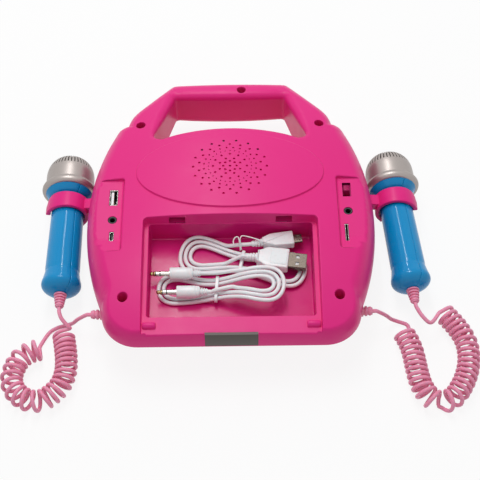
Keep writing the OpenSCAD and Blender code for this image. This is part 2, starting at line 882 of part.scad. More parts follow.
module mic_head(side) {
    color(silver) mic_place(side) difference() {
        union() {
            translate([0, 0, dome_s]) sphere(r = mic_head_r);
            translate([0, 0, head_s]) cylinder(r = mic_head_r, h = dome_s - head_s);
        }
        translate([0, 0, dome_s]) sphere(r = mic_head_r - head_wall);
        translate([0, 0, head_s - 30]) cylinder(r = mic_head_r - head_wall, h = dome_s - head_s + 30);
        translate([0, 0, head_s - 40]) cylinder(r = mic_head_r + 2, h = 40);
        for (i = [0:head_slots - 1])
            rotate([0, 0, 360 * i / head_slots])
                translate([4, -slot_w / 2, dome_s + 6]) cube([mic_head_r - 5.5, slot_w, mic_head_r]);
    }
}

module mic_capsule(side) {
    color(black) mic_place(side) {
        translate([0, 0, rim_s]) cylinder(r = 6, h = 12);
        translate([0, 0, rim_s + 12]) cylinder(r = 9, h = 6);
    }
}

// Ribbed strain relief: a tapered sleeve with discs
grommet_l = 10.5;
casing_grommet_l = 13.5;
relief_r = 4.6;
relief_tip_r = 3.2;
relief_discs = 5;

module relief(l, r0, r1, neck_l, neck_r) {
    difference() {
        union() {
            cylinder(r = r1 - 0.5, h = l);
            translate([0, 0, -neck_l]) cylinder(r = neck_r, h = neck_l + eps);
            for (i = [0:relief_discs - 1])
                translate([0, 0, l * i / relief_discs])
                    cylinder(r = r0 + (r1 - r0) * i / (relief_discs - 1), h = l / relief_discs * 0.62);
        }
        translate([0, 0, -neck_l - 1]) cylinder(d = cord_d, h = l + neck_l - 1);
    }
}

module mic_grommet(side) {
    color(cord_pink) mic_place(side) mirror([0, 0, 1]) translate([0, 0, mic_tail_l])
        relief(grommet_l, relief_r, relief_tip_r, 4, tail_hole_r - 0.15);
}

// Strain relief on the side of the casing
grommet_neck_r = 3;
grommet_y = base_y + 32;
grommet_z = parting_z - 10;
grommet_x = side_x(grommet_y) - bevel_w * (parting_z - grommet_z) / parting_z;

module cord_grommet(side) {
    color(cord_pink) scale_x(side) translate([grommet_x, grommet_y, grommet_z])
        rotate([0, 90, 0]) relief(casing_grommet_l, relief_r, relief_tip_r, 8, grommet_neck_r);
}

// Clip: a sprung band over the handle with a foot in the casing's side
clip_in_r = mic_r + clip_gap;
clip_out_r = clip_in_r + clip_t;
clip_bead = 0.8;
clip_tip_a = 12;
clip_hook_a = 228;

module mic_clip(side) {
    x = mic_x + side * mic_shift;
    color(pink) scale_x(side) {
        translate([x, clip_mid_y + clip_l / 2, mic_z]) rotate([90, 0, 0]) {
            difference() {
                union() {
                    difference() {
                        cylinder(r = clip_out_r, h = clip_l, $fn = 96);
                        rotate([0, 0, clip_hook_a])
                            linear_extrude(clip_l * 3, center = true) mouth_2d();
                    }
                    for (a = [clip_tip_a, clip_hook_a])
                        rotate([0, 0, a]) translate([(clip_in_r + clip_out_r) / 2, 0, clip_bead / 2])
                            cylinder(d = clip_t + clip_bead, h = clip_l - clip_bead);
                }
                translate([0, 0, -1]) cylinder(r = clip_in_r, h = clip_l + 2, $fn = 96);
            }
        }
        difference() {
            box(side_x(clip_mid_y) - foot_in, x - 4, clip_mid_y - clip_foot_l / 2,
                clip_mid_y + clip_foot_l / 2, clip_foot_z, clip_foot_z + clip_foot_t);
            translate([x, clip_mid_y + 20, mic_z]) rotate([90, 0, 0])
                cylinder(r = clip_out_r - 1, h = 40, $fn = 96);
            translate([x - 9, clip_mid_y - 20, clip_foot_z + clip_foot_t - 2])
                rotate([0, 12, 0]) cube([20, 40, 10]);
        }
    }
}

// The open sector between the hook and the tip
module mouth_2d() {
    span = 360 + clip_tip_a - clip_hook_a;
    r = clip_out_r * 2;
    polygon(concat([[0, 0]], [for (i = [0:6]) r * [cos(span * i / 6), sin(span * i / 6)]]));
}

// Cords. A smooth curve through hand-chosen points, four steps to a span
function blend_point(a, b, c, d, t) = 0.5 * (2 * b + (c - a) * t
    + (2 * a - 5 * b + 4 * c - d) * t * t + (3 * b - a - 3 * c + d) * t * t * t);
function smooth(p, n, before = undef, after = undef) = let (
    last = len(p) - 1,
    a = is_undef(before) ? 2 * p[0] - p[1] : before,
    b = is_undef(after) ? 2 * p[last] - p[last - 1] : after
) concat(
    [for (i = [0:last - 1]) for (j = [0:n - 1]) blend_point(
        i == 0 ? a : p[i - 1], p[i], p[i + 1], i + 2 > last ? b : p[i + 2], j / n)],
    [p[last]]
);
// A cord from point a to point b that leaves both straight, in directions u and v
function cord_line(a, u, mid, b, v, n) = let (
    a1 = a + cord_d * unit(u),
    b1 = b + cord_d * unit(v)
) concat([a], smooth(concat([a1], mid, [b1]), n, a, b), [b]);
function running_sum(v, i = 0, s = 0, out = []) =
    i == len(v) ? concat(out, [s]) : running_sum(v, i + 1, s + v[i], concat(out, [s]));
function unit(v) = v / norm(v);
function steps(p) = [for (i = [0:len(p) - 2]) norm(p[i + 1] - p[i])];
function way(p, i) = unit(p[min(i + 1, len(p) - 1)] - p[max(i - 1, 0)]);

// Points along a curly cord: curls of radius r round a level path, closer on the inside
function path_at(p, s, q) = [for (k = [0:2]) lookup(q, [for (i = [0:len(p) - 1]) [s[i], p[i][k]]])];
function bend_at(p, i) = let (
    a = way(p, max(i - 1, 0)),
    b = way(p, min(i + 1, len(p) - 1)),
    l = norm(p[min(i + 1, len(p) - 1)] - p[max(i - 1, 0)])
) norm(b - a) / l;
curl_steps = 8;
function curl_points(route, curls, start_a, hand, marks) = let (
    p = smooth(route, 6),
    st = steps(p),
    s = running_sum(st),
    inner = [for (i = [0:len(st) - 1]) st[i] * (1 - curl_r * 1.02 * bend_at(p, i))],
    si = running_sum(inner),
    total = si[len(si) - 1],
    back = [for (i = [0:len(s) - 1]) [si[i], s[i]]],
    l = s[len(s) - 1]
) [for (f = marks) let (
    q = lookup(total * f, back),
    c = path_at(p, s, q),
    t = unit(path_at(p, s, min(q + 0.5, l)) - path_at(p, s, max(q - 0.5, 0))),
    m = [-t[1], t[0], 0],
    a = start_a + hand * 360 * curls * f
) c + curl_r * (cos(a) * m + [0, 0, sin(a)])];
function curl_marks(curls) = let (n = round(curls * curl_steps)) [for (j = [0:n]) j / n];
tiny = 0.0004;
// Directions in which a curly cord leaves its two ends
function head_way(route, curls, a, hand) = let (q = curl_points(route, curls, a, hand, [0, tiny]))
    unit(q[0] - q[1]);
function tail_way(route, curls, a, hand) = let (q = curl_points(route, curls, a, hand, [1 - tiny, 1]))
    unit(q[1] - q[0]);

// Sweeps one unbroken tube of a given radius along points
function side_dir(t) = abs(t[2]) > 0.9 ? unit(cross(t, [0, 1, 0])) : unit(cross(t, [0, 0, 1]));
module tube(points, r, sides) {
    n = len(points);
    verts = [for (i = [0:n - 1]) let (t = way(points, i), u = side_dir(t), v = cross(u, t))
        for (k = [0:sides - 1])
            points[i] + r * (cos(360 * k / sides) * u + sin(360 * k / sides) * v)];
    walls = [for (i = [0:n - 2]) for (k = [0:sides - 1]) let (
        a = i * sides + k,
        b = i * sides + (k + 1) % sides
    ) each [[a, b, b + sides], [a, b + sides, a + sides]]];
    caps = [for (k = [1:sides - 2]) each [[0, k + 1, k],
        [(n - 1) * sides, (n - 1) * sides + k, (n - 1) * sides + k + 1]]];
    polyhedron(verts, concat(walls, caps), convexity = 10);
}

// Coil routes, seen from above, at the height of the curls' axis
coil_lift = 0.3;
coil_z = curl_r + cord_d / 2 + coil_lift;
left_coil_route = [for (p = [[-119.5, -91], [-117.5, -101], [-116, -111.5], [-116, -121],
    [-118.5, -130], [-124, -137], [-130.5, -141.5], [-138, -142], [-145.5, -138.5],
    [-151, -132], [-153, -124], [-151.5, -116], [-148, -109], [-142, -104.5], [-136, -102.5]])
    [p[0], p[1], coil_z]];
right_coil_route = [for (p = [[121.5, -93], [124.5, -100], [126.5, -108], [127.5, -117],
    [128.5, -126], [130.5, -135], [135, -143], [142.5, -147], [151, -143.5], [157, -136],
    [161.5, -127.5], [164.5, -118], [165.5, -108.5], [164.5, -99.5], [161, -91],
    [156.5, -83.5], [152, -77.5]]) [p[0], p[1], coil_z]];

function coil_line(core, first, last) = concat(
    [core[0] + cord_d * first], core, [core[len(core) - 1] + cord_d * last]);
left_turns = left_curls + 0.5;
right_turns = right_curls + 0.5;
left_core = curl_points(left_coil_route, left_turns, 90, 1, curl_marks(left_turns));
right_core = curl_points(right_coil_route, right_turns, 270, -1, curl_marks(right_turns));
left_head = head_way(left_coil_route, left_turns, 90, 1);
left_tail = tail_way(left_coil_route, left_turns, 90, 1);
right_head = head_way(right_coil_route, right_turns, 270, -1);
right_tail = tail_way(right_coil_route, right_turns, 270, -1);
left_coil = coil_line(left_core, left_head, left_tail);
right_coil = coil_line(right_core, right_head, right_tail);

// Where the cords leave the casing and the microphones
casing_exit = grommet_x + casing_grommet_l;
function mic_point(side, s) = let (a = side > 0 ? right_tilt : 0)
    [side * mic_x + mic_shift - sin(a) * s, clip_mid_y + cos(a) * s, mic_z];
mic_exit_s = -mic_tail_l - grommet_l;

floor_z = cord_d / 2 + 0.5;
mic_lead_l = cord_line(
    mic_point(-1, mic_exit_s), [0, -1, 0],
    [[-120, -84, 20.5], [-115.5, -88.5, 17]],
    left_coil[0], left_head, 3
);
casing_lead_l = cord_line(
    [-casing_exit, grommet_y, grommet_z], [-1, 0, 0],
    [[-109, -82.5, 16], [-114, -80.5, 7], [-119.5, -80, 3], [-126, -81.5, floor_z],
     [-131.5, -86, floor_z]],
    left_coil[len(left_coil) - 1], left_tail, 3
);
mic_lead_r = cord_line(
    mic_point(1, mic_exit_s), [sin(right_tilt), -cos(right_tilt), 0],
    [[134, -86, 20.5], [140, -90, 18]],
    right_coil[len(right_coil) - 1], right_tail, 3
);
casing_lead_r = cord_line(
    [casing_exit, grommet_y, grommet_z], [1, 0, 0],
    [[109, -82.5, 16], [114, -80.5, 7], [119.5, -80.5, 3.2], [126, -83, floor_z]],
    right_coil[0], right_head, 3
);

module plain_cord(points) {
    color(cord_pink) tube(points, cord_d / 2, 8);
}

// Least gap of a tube to itself, apart from its own neighbouring stretch
function least_gap(p, d, skip) = min([for (i = [0:len(p) - 1 - skip])
    for (j = [i + skip:len(p) - 1]) norm(p[j] - p[i])]) - d;

// Spare cables, each wound into a hank that is drawn in at its tie.
// A hank is [half length, half height at the tie, bulge of the lobes, slant, step of the loops]
function hank_point(a, turns, h) = let (
    x = (h[0] - h[4] * turns) * cos(a),
    y = sin(a) * (h[1] - h[4] * turns + (h[2] - h[4] * turns) * pow(cos(a), 2)),
    c = cos(h[3]),
    s = sin(h[3])
) [x * c - y * s, x * s + y * c, 0];
hank_steps = 24;
hank_sweep = 860;
hank_n = round(hank_sweep * hank_steps / 360);
loop_step = 3.5;
usb_hank = [46, 9.8, 25, -11, loop_step];
usb_mid = [9, -52.4, 0];
aux_hank = [45, 9.8, 20, -4, loop_step];
aux_mid = [-8, -75, 0];
tie_t = 0.8;
tie_gap = 0.2;
hank_z = tray_floor_z + cable_d / 2 + tie_gap + tie_t + seat_gap;
// The audio cable climbs over the larger plug of the other cable
aux_rise = 12;
aux_foot_x = -24;
aux_crest_x = 15;
function ease(t) = let (u = max(0, min(1, t))) u * u * (3 - 2 * u);

aux_low_z = tray_floor_z + cable_d / 2 + seat_gap;
function hank(h, mid, first, hand, low, rise) = [for (i = [0:hank_n]) let (
    a = first + hand * hank_sweep * i / hank_n,
    q = hank_point(a, hank_sweep * i / hank_n / 360, h) + mid
) [q[0], q[1], low + rise * ease((q[0] - aux_foot_x) / (aux_crest_x - aux_foot_x))]];

usb_path = hank(usb_hank, usb_mid, 110, 1, hank_z, 0);
aux_path = hank(aux_hank, aux_mid, 70, -1, aux_low_z, aux_rise);

// Plugs lie on the loops; each cable's two tails run over its tie to them
strand_top = hank_z + cable_d / 2;
usb_plug_t = 7.6;
micro_plug_t = 6.4;
usb_plug_at = [18.5, -52, strand_top + seat_gap + usb_plug_t / 2];
usb_plug_a = -8;
micro_plug_at = [22.5, -39, strand_top + seat_gap + micro_plug_t / 2];
micro_plug_a = 7;
usb_relief_l = 8;
function plug_point(at, a, d) = at + d * [cos(a), sin(a), 0];
usb_tie_z = strand_top + tie_gap + tie_t + seat_gap + cable_d / 2;

function usb_end(at, a, d) = plug_point(at, a, -usb_relief_l - d);
usb_full = concat(
    [usb_end(micro_plug_at, micro_plug_a, 0)],
    smooth([usb_end(micro_plug_at, micro_plug_a, cable_d), [6.5, -40, usb_tie_z],
        [1, -39, usb_tie_z - 2.6], usb_path[0]], 2,
        usb_end(micro_plug_at, micro_plug_a, 0), usb_path[1]),
    [for (i = [1:hank_n - 1]) usb_path[i]],
    smooth([usb_path[hank_n], [1.5, -52, usb_tie_z - 1],
        usb_end(usb_plug_at, usb_plug_a, cable_d)], 2,
        usb_path[hank_n - 1], usb_end(usb_plug_at, usb_plug_a, 0)),
    [usb_end(usb_plug_at, usb_plug_a, 0)]
);

module usb_cable() {
    color(white) tube(usb_full, cable_d / 2, 6);
}

module relief_x(l, r0, r1) {
    rotate([0, -90, 0]) for (i = [0:3])
        translate([0, 0, l * i / 4]) cylinder(r = r0 + (r1 - r0) * i / 3, h = l / 4 - 0.6);
    rotate([0, -90, 0]) cylinder(r = r1 - 0.4, h = l);
}

module usb_plug_body() {
    color(white) translate(usb_plug_at) rotate([0, 0, usb_plug_a]) {
        difference() {
            translate([0, -8, -usb_plug_t / 2]) cube([22, 16, usb_plug_t]);
            for (s = [-1, 1]) translate([-1, s * 8, -5]) rotate([0, 0, s * -30])
                translate([-4, s > 0 ? 0 : -6, 0]) cube([8, 6, 10]);
        }
        relief_x(usb_relief_l, 3.4, 2.4);
    }
}

module usb_plug_shell() {
    color("silver") translate(usb_plug_at) rotate([0, 0, usb_plug_a]) difference() {
        translate([22, -6, -2.25]) cube([12.5, 12, 4.5]);
        translate([24, -5.6, -0.2]) cube([11, 11.2, 2.05]);
        for (y = [-4, 1.5]) translate([27, y, 0]) cube([2.4, 2.4, 4]);
    }
}

module micro_plug_body() {
    color(white) translate(micro_plug_at) rotate([0, 0, micro_plug_a]) {
        linear_extrude(micro_plug_t, center = true)
            polygon([[0, -2.8], [6, -5], [22, -5.6], [22, 5.6], [6, 5], [0, 2.8]]);
        relief_x(usb_relief_l, 2.9, 2.2);
    }
}

module micro_plug_shell() {
    color("silver") translate(micro_plug_at) rotate([0, 0, micro_plug_a])
        translate([22, -3.4, -0.9]) cube([6, 6.8, 1.8]);
}

module tie_band(at, a, shift, w, h) {
    translate(at) rotate([0, 0, a]) rotate([90, 0, 90]) linear_extrude(2.2, center = true)
        translate([shift, 0]) difference() {
            square([w + 2 * tie_t, h + 2 * tie_t], center = true);
            square([w, h], center = true);
        }
}
tie_w = 19;
tie_shift = -0.9;

module usb_tie() {
    color(white) tie_band(usb_mid + [-1.5, 0.4, hank_z], usb_hank[3], tie_shift, tie_w,
        cable_d + 2 * tie_gap);
}

// The audio cable's two plugs point away from its tie, to the left
aux_plug_l = 15.5;
aux_plug_r = 4.4;
aux_pin_l = 14;
aux_relief_l = 6;
aux_plug_z = strand_top + 2 * seat_gap + aux_plug_r;
aux_a_at = [-27, -65, aux_plug_z];
aux_b_at = [-22, -80, aux_plug_z];
aux_tie_x = aux_mid[0] - 2;
aux_tie_y = aux_mid[1] + 0.2;
aux_tie_z = aux_low_z + aux_rise * ease((aux_tie_x - aux_foot_x) / (aux_crest_x - aux_foot_x));
aux_tie_h = cable_d + 2;
aux_tail_z = aux_tie_z + aux_tie_h / 2 + tie_t + seat_gap + cable_d / 2;

function aux_end(at, d) = at + [aux_relief_l + d, 0, 0];
aux_full = concat(
    [aux_end(aux_a_at, 0)],
    smooth([aux_end(aux_a_at, cable_d), [aux_tie_x, -65.5, aux_tail_z],
        [0, -65, aux_tail_z + 1.6], aux_path[0]], 3, aux_end(aux_a_at, 0), aux_path[1]),
    [for (i = [1:hank_n - 1]) aux_path[i]],
    smooth([aux_path[hank_n], [0, -78, aux_tail_z + 1.8], [aux_tie_x - 0.6, -79.7, aux_tail_z + 0.5],
        aux_end(aux_b_at, cable_d)], 3, aux_path[hank_n - 1], aux_end(aux_b_at, 0)),
    [aux_end(aux_b_at, 0)]
);

module aux_cable() {
    color(white) tube(aux_full, cable_d / 2, 6);
}

module aux_plug_bodies() {
    color(white) for (p = [aux_a_at, aux_b_at]) translate(p) {
        rotate([0, -90, 0]) cylinder(r = aux_plug_r, h = aux_plug_l);
        mirror([1, 0, 0]) relief_x(aux_relief_l, 3.2, 2.3);
    }
}

module aux_plug_pins() {
    color("silver") for (p = [aux_a_at, aux_b_at]) translate(p - [aux_plug_l, 0, 0])
        rotate([0, -90, 0]) rotate_extrude() polygon([
            [0, 0], [plug_d / 2, 0], [plug_d / 2, aux_pin_l - 2.8], [1.25, aux_pin_l - 2.2],
            [1.6, aux_pin_l - 1.4], [0.6, aux_pin_l], [0, aux_pin_l]
        ]);
}

module aux_tie() {
    color(white) tie_band([aux_tie_x, aux_tie_y, aux_tie_z], aux_hank[3], tie_shift, tie_w,
        aux_tie_h);
}

back_shell();
front_shell();
rear_speaker();
front_grille();
front_speaker();
light_ring();
main_board();
battery_pack();
casing_screws();
port_board_left();
port_board_right();
usb_socket();
usb_socket_tongue();
micro_usb_socket();
jack(-port_x, left_jack_y);  // jack_left
jack(port_x, right_jack_y);  // jack_right
card_socket();
switch_housing();
switch_knob();
rating_label();
mic_clip(-1);  // mic_clip_left
mic_clip(1);  // mic_clip_right
cord_grommet(-1);  // cord_grommet_left
cord_grommet(1);  // cord_grommet_right
button_stem(0);  // button_previous
button_stem(1);  // button_play
button_stem(2);  // button_next
button_stem(3);  // button_volume_down
button_stem(4);  // button_mode
button_stem(5);  // button_volume_up
mic_head(-1);  // mic_head_left
mic_rim(-1);  // mic_rim_left
handle_half(-1, false);  // mic_handle_inner_left
handle_half(-1, true);  // mic_handle_outer_left
mic_capsule(-1);  // mic_capsule_left
mic_switch(-1);  // mic_switch_left
mic_grommet(-1);  // mic_grommet_left
plain_cord(mic_lead_l);  // mic_lead_left
color(cord_pink) tube(left_coil, cord_d / 2, 6);  // cord_coil_left
plain_cord(casing_lead_l);  // casing_lead_left
mic_head(1);  // mic_head_right
mic_rim(1);  // mic_rim_right
handle_half(1, false);  // mic_handle_inner_right
handle_half(1, true);  // mic_handle_outer_right
mic_capsule(1);  // mic_capsule_right
mic_switch(1);  // mic_switch_right
mic_grommet(1);  // mic_grommet_right
plain_cord(mic_lead_r);  // mic_lead_right
color(cord_pink) tube(right_coil, cord_d / 2, 6);  // cord_coil_right
plain_cord(casing_lead_r);  // casing_lead_right
usb_cable();
usb_plug_body();
usb_plug_shell();
micro_plug_body();
micro_plug_shell();
usb_tie();
aux_cable();
aux_plug_bodies();
aux_plug_pins();
aux_tie();

// The least gap of each wound cord to itself, in millimetres
echo(left_coil_gap = least_gap(left_core, cord_d, 5));
echo(right_coil_gap = least_gap(right_core, cord_d, 5));
echo(usb_cable_gap = least_gap(usb_full, cable_d, 6));
echo(aux_cable_gap = least_gap(aux_full, cable_d, 6));
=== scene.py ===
"""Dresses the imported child's carry-handle karaoke speaker for its studio picture.

The speaker lies on its front rim, seen from its back: a pink moulded casing with a carry
handle and an open storage tray, two wired microphones in side clips and two spare cables.
All sizes are millimetres; meshes are written in metres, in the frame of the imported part.
"""
from __future__ import annotations

import json
import logging
import math
from dataclasses import dataclass, field
from enum import Enum
from typing import Callable, Iterable, Sequence

import bmesh
import bpy
import numpy as np
from mathutils import Matrix, Vector
from mathutils.geometry import delaunay_2d_cdt
from mathutils.kdtree import KDTree

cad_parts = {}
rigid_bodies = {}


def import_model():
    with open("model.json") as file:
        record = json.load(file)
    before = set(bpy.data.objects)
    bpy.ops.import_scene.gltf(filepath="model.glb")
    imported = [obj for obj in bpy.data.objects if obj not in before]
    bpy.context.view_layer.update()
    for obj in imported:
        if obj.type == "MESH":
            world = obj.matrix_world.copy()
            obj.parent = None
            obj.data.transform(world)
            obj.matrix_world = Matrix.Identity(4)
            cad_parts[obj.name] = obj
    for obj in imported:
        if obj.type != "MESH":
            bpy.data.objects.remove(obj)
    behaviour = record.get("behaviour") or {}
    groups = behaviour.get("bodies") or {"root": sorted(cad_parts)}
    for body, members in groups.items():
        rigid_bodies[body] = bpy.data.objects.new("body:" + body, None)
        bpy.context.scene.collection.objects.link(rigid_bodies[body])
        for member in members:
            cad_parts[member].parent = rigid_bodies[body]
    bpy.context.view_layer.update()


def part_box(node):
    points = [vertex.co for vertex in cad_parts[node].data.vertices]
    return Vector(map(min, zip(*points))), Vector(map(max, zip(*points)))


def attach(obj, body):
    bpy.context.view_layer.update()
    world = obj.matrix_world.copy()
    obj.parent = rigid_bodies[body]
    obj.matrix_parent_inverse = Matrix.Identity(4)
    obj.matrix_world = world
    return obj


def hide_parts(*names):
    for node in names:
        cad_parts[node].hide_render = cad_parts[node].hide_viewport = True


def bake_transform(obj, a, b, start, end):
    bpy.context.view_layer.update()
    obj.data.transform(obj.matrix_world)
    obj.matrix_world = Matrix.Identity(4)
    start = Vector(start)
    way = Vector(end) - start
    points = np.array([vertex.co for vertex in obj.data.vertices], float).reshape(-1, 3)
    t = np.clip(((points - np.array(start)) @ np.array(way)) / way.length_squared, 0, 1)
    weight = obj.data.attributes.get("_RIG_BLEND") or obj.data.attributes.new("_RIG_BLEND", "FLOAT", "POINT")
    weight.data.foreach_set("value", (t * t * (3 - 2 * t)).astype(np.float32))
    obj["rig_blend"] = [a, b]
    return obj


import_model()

MM = 0.001
log = logging.getLogger("karaoke_speaker")


class Body(str, Enum):
    """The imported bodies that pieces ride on."""

    CASING = "casing"
    SWITCH = "power_switch"
    MIC_LEFT = "microphone_left"
    MIC_RIGHT = "microphone_right"
    TALK_LEFT = "talk_switch_left"
    TALK_RIGHT = "talk_switch_right"
    CHARGING = "charging_cable"
    AUDIO = "audio_cable"


class Side(Enum):
    """The two sides of the casing, as the sign of x."""

    LEFT = -1
    RIGHT = 1

    @property
    def word(self) -> str:
        """The side's name as the nodes spell it."""
        return self.name.lower()


def linear(hex_colour: str) -> tuple[float, float, float, float]:
    """Turns an sRGB hex colour into linear values.

    Args:
        hex_colour: a colour such as "#e83e8c".

    Returns:
        Linear red, green, blue and an alpha of 1.
    """
    digits = hex_colour.lstrip("#")
    channels = [int(digits[i : i + 2], 16) / 255 for i in (0, 2, 4)]
    curve = [c / 12.92 if c <= 0.04045 else ((c + 0.055) / 1.055) ** 2.4 for c in channels]
    return (curve[0], curve[1], curve[2], 1.0)


def add_node(
    tree: bpy.types.NodeTree, kind: str, inputs: dict | None = None, **settings: object
) -> bpy.types.Node:
    """Adds a node, sets its properties and fills or links its inputs.

    Args:
        tree: the node tree that gets the node.
        kind: the node's type name.
        inputs: socket names or indices, each with a value or with a socket to link from.
        settings: the node's own properties.

    Returns:
        The new node.
    """
    made = tree.nodes.new(kind)
    for name, value in settings.items():
        setattr(made, name, value)
    for key, value in (inputs or {}).items():
        if isinstance(value, bpy.types.NodeSocket):
            tree.links.new(value, made.inputs[key])
        else:
            made.inputs[key].default_value = value
    return made


@dataclass(frozen=True)
class Finish:
    """A moulded, painted or plated surface, with its grain and colour drift.

    The grain is a fine noise in the bump and the roughness; the drift is a slow change of
    colour over centimetres, as moulded plastic and soft jackets show it.
    """

    name: str
    slot: str
    colour: str
    roughness: float = 0.4
    metallic: float = 0.0
    ior: float = 1.46
    grain_mm: float = 0.8
    grain_depth_mm: float = 0.01
    grain_strength: float = 0.25
    roughness_drift: float = 0.05
    colour_drift: float = 0.04
    drift_mm: float = 30.0
    soft_depth_mm: float = 0.0
    specular: float = 0.5
    scratch_mm: float = 0.0

    def build(self) -> bpy.types.Material:
        """Builds the material, or hands out the one already built.

        Returns:
            The node-based material of this finish.
        """
        known = bpy.data.materials.get(self.name)
        if known is not None:
            return known
        material = bpy.data.materials.new(self.name)
        material.use_nodes = True
        tree = material.node_tree
        tree.nodes.clear()
        place = add_node(tree, "ShaderNodeTexCoord").outputs["Object"]
        colour = self._drifting_colour(tree, place)
        bump = self._grain_bump(tree, place)
        shader = add_node(
            tree,
            "ShaderNodeBsdfPrincipled",
            {
                "Base Color": colour, "Roughness": self._drifting_roughness(tree, place),
                "Metallic": self.metallic, "IOR": self.ior, "Normal": bump,
                "Specular IOR Level": self.specular,
            },
        )
        if self.soft_depth_mm:
            shader.inputs["Subsurface Weight"].default_value = 0.35
            shader.inputs["Subsurface Radius"].default_value = (1.0, 0.5, 0.5)
            shader.inputs["Subsurface Scale"].default_value = self.soft_depth_mm * MM
        add_node(tree, "ShaderNodeOutputMaterial", {"Surface": shader.outputs["BSDF"]})
        material.diffuse_color = linear(self.colour)
        return material

    def _noise(
        self, tree: bpy.types.NodeTree, place: bpy.types.NodeSocket, size_mm: float, detail: float
    ) -> bpy.types.NodeSocket:
        """Adds a noise whose features have a real size.

        Args:
            tree: the material's tree.
            place: the coordinates it reads, in metres.
            size_mm: the size of one feature.
            detail: the number of finer layers.

        Returns:
            The noise's value, round 0.5.
        """
        noise = add_node(
            tree, "ShaderNodeTexNoise",
            {"Vector": place, "Scale": 1 / (size_mm * MM), "Detail": detail, "Roughness": 0.55},
        )
        return noise.outputs["Fac"]

    def _drifting_colour(
        self, tree: bpy.types.NodeTree, place: bpy.types.NodeSocket
    ) -> bpy.types.NodeSocket:
        """Adds the colour and its slow drift between a darker and a lighter tone.

        Args:
            tree: the material's tree.
            place: the coordinates it reads.

        Returns:
            The colour socket.
        """
        base = linear(self.colour)
        dark = tuple(c * (1 - self.colour_drift) for c in base[:3]) + (1.0,)
        light = tuple(min(1.0, c * (1 + self.colour_drift)) for c in base[:3]) + (1.0,)
        mix = add_node(
            tree, "ShaderNodeMix", {0: self._noise(tree, place, self.drift_mm, 2.0), 6: dark, 7: light},
            data_type="RGBA",
        )
        return mix.outputs[2]

    def _drifting_roughness(
        self, tree: bpy.types.NodeTree, place: bpy.types.NodeSocket
    ) -> bpy.types.NodeSocket:
        """Adds a roughness that changes a little over the surface, as handling leaves it.

        Args:
            tree: the material's tree.
            place: the coordinates it reads.

        Returns:
            The roughness socket.
        """
        spread = add_node(
            tree,
            "ShaderNodeMapRange",
            {
                "Value": self._noise(tree, place, self.drift_mm / 4, 3.0), "From Min": 0.3,
                "From Max": 0.7, "To Min": max(0.02, self.roughness - self.roughness_drift),
                "To Max": min(1.0, self.roughness + self.roughness_drift),
            },
        )
        return spread.outputs["Result"]

    def _grain_bump(
        self, tree: bpy.types.NodeTree, place: bpy.types.NodeSocket
    ) -> bpy.types.NodeSocket:
        """Adds the fine grain of the mould, the paint or the brushing.

        Args:
            tree: the material's tree.
            place: the coordinates it reads.

        Returns:
            The normal socket.
        """
        read = place
        if self.scratch_mm:
            mapping = add_node(
                tree, "ShaderNodeMapping", {"Vector": place, "Scale": (1.0, self.scratch_mm, 1.0)}
            )
            read = mapping.outputs["Vector"]
        grain = self._noise(tree, read, self.grain_mm, 2.0)
        bump = add_node(
            tree, "ShaderNodeBump",
            {"Height": grain, "Strength": self.grain_strength, "Distance": self.grain_depth_mm * MM},
        )
        return bump.outputs["Normal"]


@dataclass
class Shape:
    """Points and faces of one mesh in the making, in millimetres."""

    points: list[Sequence[float]] = field(default_factory=list)
    faces: list[Sequence[int]] = field(default_factory=list)

    def add(self, points: Iterable[Sequence[float]], faces: Iterable[Sequence[int]]) -> None:
        """Appends a patch, with its faces counted from its own first point."""
        first = len(self.points)
        self.points.extend(tuple(p) for p in points)
        self.faces.extend([i + first for i in f] for f in faces)

    def loft(
        self, loops: Sequence[Sequence[Sequence[float]]], closed: bool = True, caps: bool = False
    ) -> None:
        """Joins loops of equal length with quads.

        Args:
            loops: the loops, each a list of points.
            closed: whether each loop closes on itself.
            caps: whether the first and the last loop are filled.
        """
        n = len(loops[0])
        span = n if closed else n - 1
        faces: list[Sequence[int]] = [
            (k * n + i, k * n + (i + 1) % n, (k + 1) * n + (i + 1) % n, (k + 1) * n + i)
            for k in range(len(loops) - 1)
            for i in range(span)
        ]
        if caps:
            last = (len(loops) - 1) * n
            faces.append(list(range(n - 1, -1, -1)))
            faces.append(list(range(last, last + n)))
        self.add([p for loop in loops for p in loop], faces)

    @classmethod
    def lofted(
        cls, loops: Sequence[Sequence[Sequence[float]]], closed: bool = True, caps: bool = False
    ) -> "Shape":
        """A new shape of loops joined with quads; the arguments are those of loft."""
        made = cls()
        made.loft(loops, closed, caps)
        return made

    @classmethod
    def turned(cls, profile: Sequence[tuple[float, float]], steps: int = 64) -> "Shape":
        """A profile of (radius, height) turned round Z.

        Args:
            profile: the points, from one end to the other.
            steps: the number of faces round it.

        Returns:
            The new shape.
        """
        angles = [math.radians(360 * i / steps) for i in range(steps)]
        return cls.lofted([[(r * math.cos(a), r * math.sin(a), z) for a in angles] for r, z in profile])

    def moved(self, place: Matrix) -> "Shape":
        """Places the shape."""
        return Shape([tuple(place @ Vector(p)) for p in self.points], list(self.faces))

    def mesh(self, name: str, merge_mm: float = 0.001) -> bpy.types.Mesh:
        """Writes the mesh in metres, with doubles merged and faces pointing outwards.

        Args:
            name: the mesh's name.
            merge_mm: points nearer than this become one.

        Returns:
            The Blender mesh.
        """
        mesh = bpy.data.meshes.new(name)
        mesh.from_pydata([[c * MM for c in p] for p in self.points], [], self.faces)
        edit = bmesh.new()
        edit.from_mesh(mesh)
        bmesh.ops.remove_doubles(edit, verts=edit.verts, dist=merge_mm * MM)
        bmesh.ops.dissolve_degenerate(edit, dist=merge_mm * MM * 0.5, edges=edit.edges)
        bmesh.ops.recalc_face_normals(edit, faces=edit.faces)
        edit.to_mesh(mesh)
        edit.free()
        return mesh


